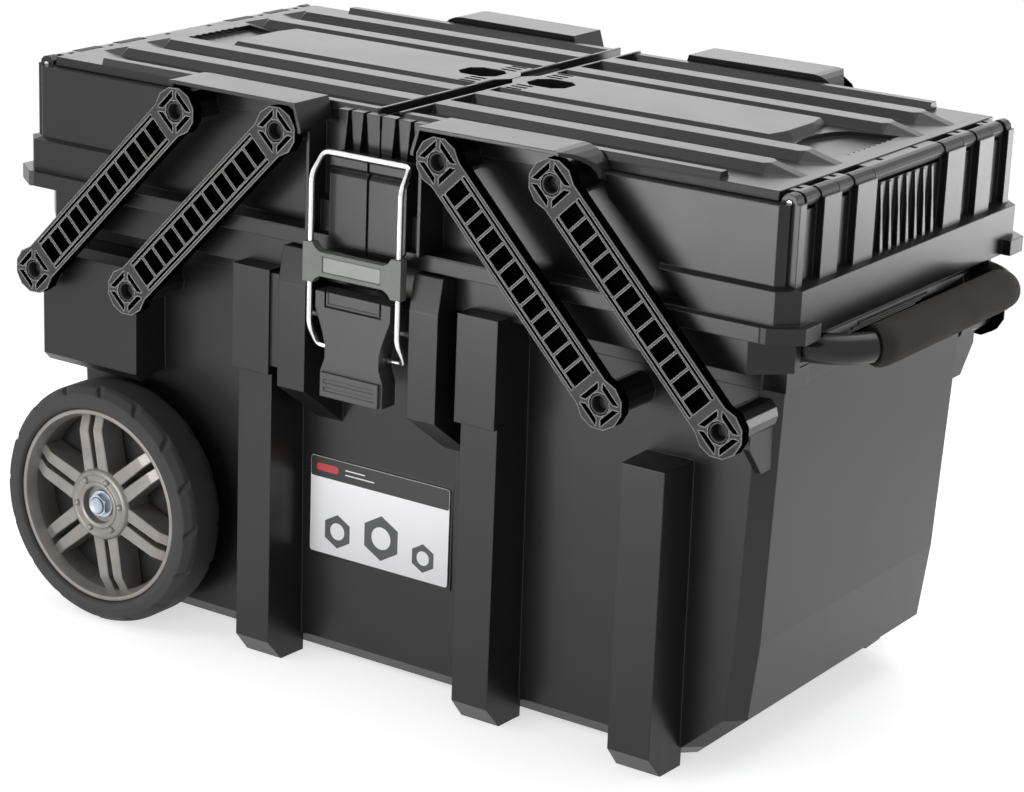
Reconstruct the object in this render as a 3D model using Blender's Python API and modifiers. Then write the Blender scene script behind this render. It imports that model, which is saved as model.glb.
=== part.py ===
"""Wheeled cantilever tool chest.

A deep base bin on two wheels and moulded feet carries two lidded trays side by side.
Each tray hangs on four parallel arms and swings up and outward while it stays level.
A wire bail latch on the front holds the trays shut, and a U-shaped handle slides out
along +X. X runs along the chest, the front faces -Y, and the floor is z = 0.
"""

import math

import bmesh
import bpy
from mathutils import Matrix, Vector

# Clearances and common thicknesses
GAP = 0.0003
RUN = 0.0006
WALL = 0.003

# Base bin: its rim, and the insets of the skin below it
BIN_FLOOR_Z = 0.004
RIM_Z = 0.286
RIM_HALF_X = 0.2955
RIM_HALF_Y = 0.137
RIM_PROUD = 0.0015
RIM_BAND = 0.015
BIN_CORNER = 0.012
CHINE_RISE = 0.010
SOLE_INSET_Y = 0.012
CHINE_INSET_Y = 0.004
SLOPE_RISE = 0.037
SOLE_INSET_X = 0.054
SLOPE_INSET_X = 0.0135
KNEE_RISE = 0.054
KNEE_INSET_X = 0.0075
BIN_CHINE_Z = BIN_FLOOR_Z + CHINE_RISE
BIN_SLOPE_Z = BIN_FLOOR_Z + SLOPE_RISE
BIN_KNEE_Z = BIN_SLOPE_Z + KNEE_RISE
BIN_SOLE_HALF_X = RIM_HALF_X - SOLE_INSET_X
BIN_SOLE_HALF_Y = RIM_HALF_Y - SOLE_INSET_Y
BIN_CHINE_HALF_Y = RIM_HALF_Y - CHINE_INSET_Y
BIN_SLOPE_HALF_X = RIM_HALF_X - SLOPE_INSET_X
BIN_KNEE_HALF_X = RIM_HALF_X - KNEE_INSET_X
RIM_LOW_Z = RIM_Z - RIM_BAND

# Latch bail, which sets how far apart the housings beside it stand
BAIL_X = 0.0365
BAIL_R = 0.002
BAIL_SIDE_ROOM = 0.0045
HOUSING_W = 0.023
HOUSING_IN_X = BAIL_X + BAIL_R + BAIL_SIDE_ROOM
HOUSING_OUT_X = HOUSING_IN_X + HOUSING_W

# Feet and pillars on the long sides
PILLAR_REACH = 0.032
CAP_PROUD = 0.006
CAP_W = 0.032
CAP_LAP = 0.0015
HOUSING_TO_CAP = 0.012
HOUSING_PROUD = 0.011
HOUSING_DROP = 0.074
HOUSING_RISE = 0.024
HOUSING_SLOPE = 0.005
HOUSING_TAIL = 0.035
WEB_INSET = 0.002
PILLAR_DROP = 0.070
PILLAR_FLARE = 0.002
FOOT_CHAMFER_Y = 0.014
FOOT_CHAMFER_Z = 0.016
END_FOOT_W = 0.032
END_FOOT_INSET = 0.0585
PILLAR_FRONT = RIM_HALF_Y + PILLAR_REACH
PILLAR_TOP_Z = RIM_Z - PILLAR_DROP
CAP_FRONT = PILLAR_FRONT + CAP_PROUD
CAP_IN_X = HOUSING_OUT_X + HOUSING_TO_CAP
CAP_OUT_X = CAP_IN_X + CAP_W
CAP_TOP_Z = RIM_Z + 0.004
PILLAR_IN_X = CAP_IN_X + CAP_LAP + 0.0001
PILLAR_OUT_X = CAP_OUT_X - CAP_LAP
END_FOOT_OUT_X = RIM_HALF_X - END_FOOT_INSET
END_FOOT_IN_X = END_FOOT_OUT_X - END_FOOT_W
END_FOOT_TOP_Z = PILLAR_TOP_Z - 0.002
HOUSING_FRONT = PILLAR_FRONT + HOUSING_PROUD
HOUSING_LOW_Z = RIM_Z - HOUSING_DROP
HOUSING_TOP_Z = RIM_Z + HOUSING_RISE

# Handle tube and its foam sleeve
TUBE_R = 0.010
TUBE_WALL = 0.0012
FOAM_T = 0.004
BEND_R = 0.040
LEG_INSET_Y = 0.017
LEG_END_INSET = 0.0105
GUIDE_FLOOR = 0.004
GUIDE_ROOF = 0.0032
BRACKET_IN = 0.010
GUIDE_PAST = 0.005
FOAM_R = TUBE_R + FOAM_T
LEG_Y = RIM_HALF_Y - LEG_INSET_Y
LEG_END_X = -(RIM_HALF_X - LEG_END_INSET)
HANDLE_Z = RIM_Z + GUIDE_FLOOR + TUBE_R
GUIDE_IN_Y = LEG_Y - TUBE_R - WALL / 2
GUIDE_OUT_Y = LEG_Y + TUBE_R + GUIDE_FLOOR
GUIDE_TOP_Z = HANDLE_Z + TUBE_R + GUIDE_ROOF

# Tray heights, each one stacked on the one below
SKIRT_GAP = 0.0007
LEDGE_OVER_TUBE = 0.001
LEDGE_H = 0.0105
BAND_H = 0.022
STEP_Z = 0.0022
TRAY_WALL_H = 0.0525
FLOOR_OVER_GUIDE = 0.0016
SKIRT_LOW_Z = RIM_Z + SKIRT_GAP
LEDGE_Z = HANDLE_Z + TUBE_R + LEDGE_OVER_TUBE
LEDGE_TOP_Z = LEDGE_Z + LEDGE_H
BAND_TOP_Z = LEDGE_TOP_Z + BAND_H
TRAY_RIM_Z = BAND_TOP_Z + TRAY_WALL_H
TRAY_FLOOR_Z = GUIDE_TOP_Z + FLOOR_OVER_GUIDE

# Tray lengths and depths, seen for the right one; the split lies at x = 0
TRAY_SPLIT_X = 0.0006
TRAY_OVERHANG = 0.0095
SKIRT_PROUD = 0.0025
BAND_PROUD_X = 0.011
LEDGE_PROUD_X = 0.0065
TRAY_WIDE_L = 0.060
TRAY_END_X = RIM_HALF_X + TRAY_OVERHANG
SKIRT_END_X = TRAY_END_X + SKIRT_PROUD
BAND_END_X = TRAY_END_X + BAND_PROUD_X
LEDGE_END_X = BAND_END_X + LEDGE_PROUD_X
TRAY_WIDE_X = TRAY_END_X - TRAY_WIDE_L
TRAY_SIDE = 0.021
SKIRT_SIDE = 0.002
BAND_SIDE = 0.005
LEDGE_SIDE = 0.0065
POCKET_DEPTH = 0.008
TRAY_HALF_Y = RIM_HALF_Y + TRAY_SIDE
SKIRT_HALF_Y = TRAY_HALF_Y + SKIRT_SIDE
BAND_HALF_Y = TRAY_HALF_Y + BAND_SIDE
LEDGE_HALF_Y = BAND_HALF_Y + LEDGE_SIDE
POCKET_Y = TRAY_HALF_Y - POCKET_DEPTH
TRAY_INNER_Y = POCKET_Y - WALL
SKIRT_CORNER = 0.0218
LEDGE_CORNER = 0.018
BAND_CORNER = 0.012
TRAY_CORNER = 0.005
LEDGE_BLOCK_W = 0.0198
LEDGE_BLOCK_OUT_Y = LEDGE_HALF_Y - 0.0147
LEDGE_BLOCK_IN_Y = LEDGE_BLOCK_OUT_Y - LEDGE_BLOCK_W

# Arms: parallel links between base and tray pivots
ARM_SPAN = 0.087
ARM_RING_R = 0.017
ARM_HALF_W = 0.014
ARM_THICK = 0.0091
ARM_OVER_HOUSING = 0.0063
ARM_LOW_INSET = 0.012
ARM_LOW_DROP = 0.0309
ARM_TOP_DROP = 0.0063
PIN_R = 0.0071
PIN_LENGTH = 0.026
PIN_CUP_WALL = 0.002
PIN_CUP_DEPTH = 0.008
PIN_HEAD_INSET = GAP
BOSS_WALL = 0.0033
GUSSET_REACH = 0.021
GUSSET_H = 0.037
GUSSET_T = 0.005
HOOD_T = 0.0025
HOOD_ROOM = 0.002
POCKET_IN_X = HOUSING_IN_X + HOOD_T + 0.0017
ARM_TOP_IN_X = POCKET_IN_X + HOOD_ROOM + ARM_RING_R
ARM_TOP_OUT_X = ARM_TOP_IN_X + ARM_SPAN
ARM_LOW_OUT_X = RIM_HALF_X - ARM_LOW_INSET
ARM_LOW_IN_X = ARM_LOW_OUT_X - ARM_SPAN
ARM_LOW_Z = RIM_Z - ARM_LOW_DROP
ARM_TOP_Z = TRAY_RIM_Z - ARM_TOP_DROP
ARM_FRONT = HOUSING_FRONT + ARM_OVER_HOUSING
ARM_BACK = ARM_FRONT - ARM_THICK
ARM_BORE_R = PIN_R + RUN
GUSSET_X = ARM_LOW_OUT_X + 0.002
PIN_CUP_R = PIN_R - PIN_CUP_WALL
BOSS_R = ARM_BORE_R + BOSS_WALL

# Hoods and pockets that the arms fold into
HOOD_FRONT = ARM_FRONT
HOOD_ARC_R = ARM_RING_R + 0.005
HOOD_TOP_Z = ARM_TOP_Z + HOOD_ARC_R - 0.0002
POCKET_LOW_Z = LEDGE_TOP_Z + 0.001
POCKET_SLANT_Z = ARM_TOP_Z - 0.0087
POCKET_SLANT_X = ARM_TOP_OUT_X + 0.0246
POCKET_OUT_X = ARM_LOW_IN_X + 0.047

# Wheels
WHEEL_R = 0.0887
WHEEL_W = 0.0422
WHEEL_TO_PILLAR = 0.0277
TYRE_T = 0.0167
TYRE_ROUND = 0.0085
HUB_WALL = 0.0065
HUB_DISC_R = 0.027
SPOKE_W = 0.0062
SPOKE_SPREAD = 0.0066
SPOKE_COUNT = 6
TREAD_COUNT = 16
TREAD_CUT = 0.0028
TREAD_HALF = 0.0032
AXLE_R = 0.006
NUT_WALL = 0.0025
NUT_ROOM = 0.0055
CUP_DEPTH = 0.0105
DOME_FACE = 0.0046
SPOKE_FACE = 0.0075
SPOKE_BACK = 0.014
SPOKE_DIP = 0.0055
SPOKE_DIP_L = 0.012
HUB_BACK = 0.0018
AXLE_BOSS_WALL = 0.009
TUNNEL_WALL = 0.010
WHEEL_X = -(PILLAR_OUT_X + PILLAR_FLARE + WHEEL_TO_PILLAR + WHEEL_R)
WHEEL_OUT_Y = ARM_FRONT + 0.0009
HUB_R = WHEEL_R - TYRE_T
AXLE_BORE_R = AXLE_R + RUN
NUT_R = AXLE_R + NUT_WALL
CUP_R = NUT_R + NUT_ROOM
FENDER_W = 0.088
FENDER_INSET = 0.0035
FENDER_ROOM = 0.0046
FENDER_BEVEL = 0.006
FENDER_FRONT = PILLAR_FRONT - 0.002
FENDER_OUT_X = RIM_HALF_X - FENDER_INSET
FENDER_IN_X = FENDER_OUT_X - FENDER_W
FENDER_LOW_Z = 2 * WHEEL_R + FENDER_ROOM

# Grip of the handle, clear of the ledge
GRIP_ROOM = 0.0025
GRIP_X = LEDGE_END_X + GRIP_ROOM + FOAM_R

# Lids and the hinge at each end
LID_IN_X = 0.0075
LID_T = 0.0065
RIDGE_H = 0.0059
HINGE_INSET = 0.0024
HINGE_RISE = 0.0004
HINGE_TO_LID = 0.0081
HINGE_PIN_R = 0.002
BARREL_WALL = 0.0031
TOOTH_OVER = 0.0005
END_PILLAR_PROUD = 0.0055
RIDGE_Y = (0.057, 0.103)
RIDGE_HALF_W = 0.008
RIDGE_FOOT = 0.004
RIDGE_HIP = 0.024
RIDGE_SHORT = 0.0305
PLATEAU_HALF_Y = 0.035
PLATEAU_SHORT = 0.0685
LIP_W = 0.013
LID_BORDER = 0.0024
LIP_DROP = 0.0012
TONGUE_IN_Y = 0.024
TONGUE_OUT_Y = 0.066
CROSS_HALF_Y = 0.018
RECESS_WEB = 0.0055
RECESS_L = 0.032
RECESS_W = 0.028
TAB_W = 0.013
TAB_PITCH = 0.0068
TAB_SLOTS = 4
GRIP_SINK = 0.0035
HAND_EDGE = 0.0180
HAND_STRAIGHT = 0.0325
HAND_R = 0.068
TEETH = 9
TOOTH_PITCH = 0.0074
TOOTH_DEEP = 0.0014
SQUARE_HOLE = 0.0048
LID_HALF_Y = POCKET_Y - 0.0005
LID_LOW_Z = TRAY_RIM_Z + GAP
LID_DECK_Z = TRAY_RIM_Z + LID_T
LID_TOP_Z = LID_DECK_Z + RIDGE_H
HINGE_X = TRAY_END_X - HINGE_INSET
HINGE_Z = TRAY_RIM_Z + HINGE_RISE
HINGE_BORE_R = HINGE_PIN_R + GAP + 0.0001
BARREL_R = HINGE_BORE_R + BARREL_WALL
TOOTH_R = BARREL_R + TOOTH_OVER
END_PILLAR_X = TRAY_END_X + END_PILLAR_PROUD
LID_OUT_X = HINGE_X - HINGE_TO_LID
RIDGE_END_X = LID_OUT_X - RIDGE_SHORT
PLATEAU_END_X = LID_OUT_X - PLATEAU_SHORT

# End pillars of a tray, set in from its corner, and the hinge barrels between them
PILLAR_A = (TRAY_HALF_Y - 0.108, TRAY_HALF_Y - 0.082)
PILLAR_B = (TRAY_HALF_Y - 0.0606, TRAY_HALF_Y - 0.0386)
PILLAR_C = (TRAY_HALF_Y - 0.016, TRAY_HALF_Y - 0.008)
END_PILLARS = (PILLAR_A, PILLAR_B, PILLAR_C)
BARREL_ROOM = 0.0015
BARREL_SIDE = (
    (PILLAR_A[1] + BARREL_ROOM, PILLAR_B[0] - BARREL_ROOM),
    (PILLAR_B[1] + BARREL_ROOM, PILLAR_C[0] - 0.004),
)
BARREL_MIDDLE = PILLAR_A[0] - BARREL_ROOM
BARRELS = (
    (-BARREL_MIDDLE, BARREL_MIDDLE),
    *BARREL_SIDE,
    *((-high, -low) for low, high in BARREL_SIDE),
)
END_FIN_PITCH = 0.012
END_FIN_W = 0.0042
END_FIN_WAIST = 0.0022

# Latch on the front
BAIL_Y = ARM_FRONT - 0.0023
BAIL_BAR_Y = HOUSING_FRONT - 0.007
BAIL_BAR_X = BAIL_X - 0.0018
BAIL_FOOT_Y = HOUSING_FRONT - 0.0055
CATCH_DROP = 0.018
CATCH_FRONT = LEDGE_HALF_Y + 0.0011
CATCH_HALF_X = BAIL_BAR_X - 0.0031
CATCH_TOP_Z = TRAY_RIM_Z - CATCH_DROP
BAIL_BAR_Z = CATCH_TOP_Z - 0.0005 + BAIL_R
LEVER_DROP = 0.071
LEVER_HALF_X = BAIL_X - 0.0055
LEVER_WAIST = BAIL_X - 0.014
LEVER_PAD_HALF_X = BAIL_X - 0.0105
LEVER_PIVOT_Y = HOUSING_FRONT - 0.004
LEVER_PIVOT_Z = RIM_Z - 0.018
LEVER_FRONT = HOUSING_FRONT + 0.0045
LEVER_BACK = HOUSING_FRONT - 0.010
LEVER_TOP_Z = RIM_Z + 0.001
LEVER_LOW_Z = RIM_Z - LEVER_DROP
BAIL_FOOT_Z = RIM_Z - 0.040
LATCH_BORE_R = BAIL_R + GAP
LATCH_PIN_SEAT = 0.008
PIN_SEAT = 0.0045
LEVER_PAD_H = 0.017
WINDOW_H = 0.0105
WINDOW_DEEP = 0.0025
BRIDGE_WAIST = 0.0055
BRIDGE_T = 0.0063
BRIDGE_RISE = 0.0065
BRIDGE_H = 0.0275
BRIDGE_FRONT = BAIL_Y + BAIL_R + 0.0011
BRIDGE_BACK = BRIDGE_FRONT - BRIDGE_T
BRIDGE_HALF_X = BAIL_X + BAIL_R + 0.002
BRIDGE_Z0 = RIM_Z + BRIDGE_RISE
BRIDGE_Z1 = BRIDGE_Z0 + BRIDGE_H

# Flutes over the catch, between fins that reach up in front of the lid's edge
FLUTE_PITCH = 0.0125
FLUTE_FLOOR_Y = POCKET_Y + 0.0012
FLUTE_END_X = BAIL_X - 0.0015
CATCH_ROUND = 0.007
SLANT_RISE = 0.0175
SLANT_RIBS = 3
BARREL_CUT_ROOM = 0.0004

# Sticker plate on the front panel
LABEL_X0 = -0.069
LABEL_X1 = 0.050
LABEL_BELOW_HOUSING = 0.026
LABEL_H = 0.071
LABEL_T = 0.0008
LABEL_PAD = 0.002
LABEL_Z1 = HOUSING_LOW_Z - HOUSING_TAIL - LABEL_BELOW_HOUSING
LABEL_Z0 = LABEL_Z1 - LABEL_H

# The grip reaches further out than the left tray, so the chest sits off the middle
SHIFT_X = -((GRIP_X + FOAM_R) - LEDGE_END_X) / 2

for old in list(bpy.data.objects):
    bpy.data.objects.remove(old)

CHEST = bpy.data.collections.new("cantilever_tool_chest")
bpy.context.scene.collection.children.link(CHEST)


def principled(name, colour, roughness, metallic=0.0):
    """One plain material with the colour read off the piece."""
    material = bpy.data.materials.new(name)
    material.use_nodes = True
    shader = material.node_tree.nodes["Principled BSDF"]
    shader.inputs["Base Color"].default_value = (*colour, 1.0)
    shader.inputs["Roughness"].default_value = roughness
    shader.inputs["Metallic"].default_value = metallic
    material.diffuse_color = (*colour, 1.0)
    return material


PLASTIC = (0.030, 0.028, 0.027)
ARM_BLACK = (0.012, 0.012, 0.012)
RUBBER = (0.045, 0.045, 0.047)
HUB_GREY = (0.142, 0.122, 0.112)
FOAM = (0.022, 0.020, 0.016)
STEEL = (0.62, 0.63, 0.64)


# Solids


def new_object(mesh):
    obj = bpy.data.objects.new("solid", mesh)
    CHEST.objects.link(obj)
    return obj


def solid(bm):
    """Turn a bmesh into an object with its faces pointing out."""
    bmesh.ops.recalc_face_normals(bm, faces=bm.faces)
    mesh = bpy.data.meshes.new("solid")
    bm.to_mesh(mesh)
    bm.free()
    return new_object(mesh)


def box(x0, x1, y0, y1, z0, z1):
    bm = bmesh.new()
    bmesh.ops.create_cube(bm, size=1.0)
    bmesh.ops.scale(bm, vec=(abs(x1 - x0), abs(y1 - y0), abs(z1 - z0)), verts=bm.verts)
    middle = ((x0 + x1) / 2, (y0 + y1) / 2, (z0 + z1) / 2)
    bmesh.ops.translate(bm, vec=middle, verts=bm.verts)
    return solid(bm)


AXIS_TURN = {
    "x": Matrix.Rotation(math.radians(90), 4, "Y"),
    "y": Matrix.Rotation(math.radians(-90), 4, "X"),
    "z": Matrix.Identity(4),
}


def cylinder(axis, centre, a, b, radius, segments=16):
    """Round bar along an axis from a to b; centre gives the other two coordinates."""
    low, high = min(a, b), max(a, b)
    bm = bmesh.new()
    bmesh.ops.create_cone(
        bm, cap_ends=True, segments=segments, radius1=radius, radius2=radius, depth=high - low
    )
    middle = (low + high) / 2
    place = {
        "x": (middle, centre[0], centre[1]),
        "y": (centre[0], middle, centre[1]),
        "z": (centre[0], centre[1], middle),
    }[axis]
    bmesh.ops.transform(bm, matrix=Matrix.Translation(place) @ AXIS_TURN[axis], verts=bm.verts)
    return solid(bm)


DRAWN = 1000.0
AXIS_LAY = {
    "x": Matrix(((0, 0, 1, 0), (1, 0, 0, 0), (0, 1, 0, 0), (0, 0, 0, 1))),
    "y": Matrix(((1, 0, 0, 0), (0, 0, 1, 0), (0, 1, 0, 0), (0, 0, 0, 1))),
    "z": Matrix.Identity(4),
}


def curve_mesh(curve):
    """The mesh that a curve draws, with its caps welded on."""
    holder = bpy.data.objects.new("drawn", curve)
    CHEST.objects.link(holder)
    bpy.context.view_layer.update()
    ready = holder.evaluated_get(bpy.context.evaluated_depsgraph_get())
    mesh = bpy.data.meshes.new_from_object(ready)
    bpy.data.objects.remove(holder)
    bpy.data.curves.remove(curve)
    bm = bmesh.new()
    bm.from_mesh(mesh)
    bpy.data.meshes.remove(mesh)
    bmesh.ops.remove_doubles(bm, verts=bm.verts, dist=0.00001 * DRAWN)
    return bm


def prism(axis, outline, a, b, holes=()):
    """Flat outline extruded along an axis, drawn in millimetres for a clean fill."""
    curve = bpy.data.curves.new("outline", "CURVE")
    curve.dimensions = "2D"
    curve.fill_mode = "BOTH"
    curve.extrude = abs(b - a) / 2 * DRAWN
    for loop in (outline, *holes):
        spline = curve.splines.new("POLY")
        spline.points.add(len(loop) - 1)
        spline.use_cyclic_u = True
        for point, (u, v) in zip(spline.points, loop):
            point.co = (u * DRAWN, v * DRAWN, 0.0, 1.0)
    bm = curve_mesh(curve)
    bmesh.ops.translate(bm, vec=(0, 0, (a + b) / 2 * DRAWN), verts=bm.verts)
    bmesh.ops.scale(bm, vec=[1 / DRAWN] * 3, verts=bm.verts)
    bmesh.ops.transform(bm, matrix=AXIS_LAY[axis], verts=bm.verts)
    return solid(bm)


def wire(points, radius, sides=8):
    """Round wire along a path, with flat caps."""
    curve = bpy.data.curves.new("wire", "CURVE")
    curve.dimensions = "3D"
    curve.bevel_depth = radius * DRAWN
    curve.bevel_resolution = sides // 2 - 2
    curve.use_fill_caps = True
    spline = curve.splines.new("POLY")
    spline.points.add(len(points) - 1)
    for point, place in zip(spline.points, points):
        point.co = (*[c * DRAWN for c in place], 1.0)
    bm = curve_mesh(curve)
    bmesh.ops.scale(bm, vec=[1 / DRAWN] * 3, verts=bm.verts)
    return solid(bm)


def loft(rings):
    """Skin through rings of equal count, with both ends capped."""
    bm = bmesh.new()
    rows = [[bm.verts.new(point) for point in ring] for ring in rings]
    count = len(rows[0])
    for low, high in zip(rows, rows[1:]):
        for i in range(count):
            j = (i + 1) % count
            bm.faces.new((low[i], low[j], high[j], high[i]))
    bm.faces.new(list(reversed(rows[0])))
    bm.faces.new(rows[-1])
    bmesh.ops.triangulate(bm, faces=bm.faces)
    return solid(bm)


def turned(profile, centre, segments):
    """Profile of (radius, y) points turned about a Y axis with a Screw modifier."""
    mesh = bpy.data.meshes.new("profile")
    edges = [(i, (i + 1) % len(profile)) for i in range(len(profile))]
    mesh.from_pydata([(r, 0.0, y) for r, y in profile], edges, [])
    obj = new_object(mesh)
    screw = obj.modifiers.new("Turn", "SCREW")
    screw.axis = "Z"
    screw.angle = math.tau
    screw.steps = segments
    screw.render_steps = segments
    screw.use_merge_vertices = True
    screw.merge_threshold = 0.00001
    bake(obj)
    bm = bmesh.new()
    bm.from_mesh(obj.data)
    bmesh.ops.remove_doubles(bm, verts=bm.verts, dist=0.00001)
    turn = Matrix.Translation((centre[0], 0, centre[1])) @ AXIS_LAY["y"]
    bmesh.ops.transform(bm, matrix=turn, verts=bm.verts)
    bmesh.ops.recalc_face_normals(bm, faces=bm.faces)
    bm.to_mesh(obj.data)
    bm.free()
    return obj


def bake(obj):
    """Replace an object's mesh with what its modifiers make of it."""
    bpy.context.view_layer.update()
    ready = obj.evaluated_get(bpy.context.evaluated_depsgraph_get())
    mesh = bpy.data.meshes.new_from_object(ready)
    old = obj.data
    obj.modifiers.clear()
    obj.data = mesh
    bpy.data.meshes.remove(old)


def tidy(obj):
    """Weld what a Boolean leaves split and merge coplanar faces."""
    bm = bmesh.new()
    bm.from_mesh(obj.data)
    bmesh.ops.remove_doubles(bm, verts=bm.verts, dist=0.000005)
    bmesh.ops.dissolve_degenerate(bm, edges=bm.edges, dist=0.000005)
    bmesh.ops.dissolve_limit(
        bm, angle_limit=math.radians(0.05), verts=bm.verts, edges=bm.edges
    )
    stray = [edge for edge in bm.edges if not edge.link_faces]
    bmesh.ops.delete(bm, geom=stray, context="EDGES")
    bm.to_mesh(obj.data)
    bm.free()


def merge(objects):
    """Several separate solids as the islands of one cutter."""
    bm = bmesh.new()
    for obj in objects:
        bm.from_mesh(obj.data)
        discard(obj)
    return solid(bm)


def discard(obj):
    mesh = obj.data
    bpy.data.objects.remove(obj)
    bpy.data.meshes.remove(mesh)


def boolean(target, tools, operation):
    for tool in tools:
        modifier = target.modifiers.new("Shape", "BOOLEAN")
        modifier.operation = operation
        modifier.solver = "EXACT"
        modifier.object = tool
    bake(target)
    for tool in tools:
        discard(tool)
    tidy(target)
    return target


def join(target, *tools):
    return boolean(target, tools, "UNION")


def cut(target, *tools):
    return boolean(target, tools, "DIFFERENCE")


def copied(obj, matrix):
    """Copy of a solid, moved, turned or mirrored."""
    bm = bmesh.new()
    bm.from_mesh(obj.data)
    bmesh.ops.transform(bm, matrix=matrix, verts=bm.verts)
    if matrix.determinant() < 0:
        bmesh.ops.reverse_faces(bm, faces=bm.faces)
    mesh = bpy.data.meshes.new("solid")
    bm.to_mesh(mesh)
    bm.free()
    return new_object(mesh)


MIRROR_X = Matrix.Scale(-1, 4, (1, 0, 0))
MIRROR_Y = Matrix.Scale(-1, 4, (0, 1, 0))
HALF_TURN = Matrix.Rotation(math.pi, 4, "Z")


def arc(centre, radius, start, end, steps):
    """Points on an arc in degrees, both ends included."""
    points = []
    for i in range(steps + 1):
        angle = math.radians(start + (end - start) * i / steps)
        points.append((centre[0] + radius * math.cos(angle), centre[1] + radius * math.sin(angle)))
    return points


def corner_ring(z, half_x, half_y, corner):
    """Rectangle with cut corners at one height."""
    return [
        (half_x, -half_y + corner, z),
        (half_x, half_y - corner, z),
        (half_x - corner, half_y, z),
        (-half_x + corner, half_y, z),
        (-half_x, half_y - corner, z),
        (-half_x, -half_y + corner, z),
        (-half_x + corner, -half_y, z),
        (half_x - corner, -half_y, z),
    ]


# Bodies: an empty on each joint's axis carries the pieces that move with it


class Body:
    def __init__(self, name, parent, pivot):
        self.pivot = Vector(pivot)
        self.empty = bpy.data.objects.new(name, None)
        CHEST.objects.link(self.empty)
        self.empty.location = self.pivot - (parent.pivot if parent else Vector())
        if parent:
            self.empty.parent = parent.empty
        else:
            self.empty.location.x += SHIFT_X


def finish(obj, name, body, material, smooth=None):
    """Name a solid, give it its material and hang it on its body's empty."""
    obj.data.transform(Matrix.Translation(-body.pivot))
    obj.name = name
    obj.data.name = name
    obj.parent = body.empty
    obj.data.materials.clear()
    obj.data.materials.append(principled(name, *material))
    if smooth:
        obj.data.shade_smooth()
        obj.data.set_sharp_from_angle(angle=math.radians(smooth))
    return obj


CHEST_BODY = Body("chest_origin", None, (0, 0, 0))


# Base bin


def bin_half_x(z):
    """Half length of the bin's outer skin at a height."""
    knots = [
        (BIN_FLOOR_Z, BIN_SOLE_HALF_X),
        (BIN_SLOPE_Z, BIN_SLOPE_HALF_X),
        (BIN_KNEE_Z, BIN_KNEE_HALF_X),
        (RIM_Z, RIM_HALF_X),
    ]
    for (za, xa), (zb, xb) in zip(knots, knots[1:]):
        if z <= zb:
            return xa + (xb - xa) * (z - za) / (zb - za)
    return RIM_HALF_X


def bin_half_y(z):
    """Half depth of the bin's outer skin at a height."""
    if z < BIN_CHINE_Z:
        share = (z - BIN_FLOOR_Z) / (BIN_CHINE_Z - BIN_FLOOR_Z)
        return BIN_SOLE_HALF_Y + (BIN_CHINE_HALF_Y - BIN_SOLE_HALF_Y) * share
    share = (z - BIN_CHINE_Z) / (RIM_Z - BIN_CHINE_Z)
    return BIN_CHINE_HALF_Y + (RIM_HALF_Y - BIN_CHINE_HALF_Y) * share


def bin_ring(z, grow=0.0):
    return corner_ring(z, bin_half_x(z) + grow, bin_half_y(z) + grow, BIN_CORNER)


def pillar(x0, x1, front, low, top):
    """Foot pillar that widens to the wall, with its toe cut away under the front."""
    rings = []
    for y, z_low, flare in (
        (front, low + FOOT_CHAMFER_Z, 0.0),
        (front - FOOT_CHAMFER_Y, low, PILLAR_FLARE / 2),
        (RIM_HALF_Y - 2 * WALL, low, PILLAR_FLARE),
    ):
        rings.append([
            (x0 - flare, -y, z_low),
            (x1 + flare, -y, z_low),
            (x1 + flare, -y, top),
            (x0 - flare, -y, top),
        ])
    return loft(rings)


def pin_drill(x, z, face):
    """Cutter for the bore of one arm pin, from outside the arm to past the pin's inner end."""
    inner = ARM_FRONT - PIN_LENGTH - WALL * 2 / 3
    return cylinder("y", (x, z), face * inner, face * (ARM_FRONT + WALL), ARM_BORE_R, 12)


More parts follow.
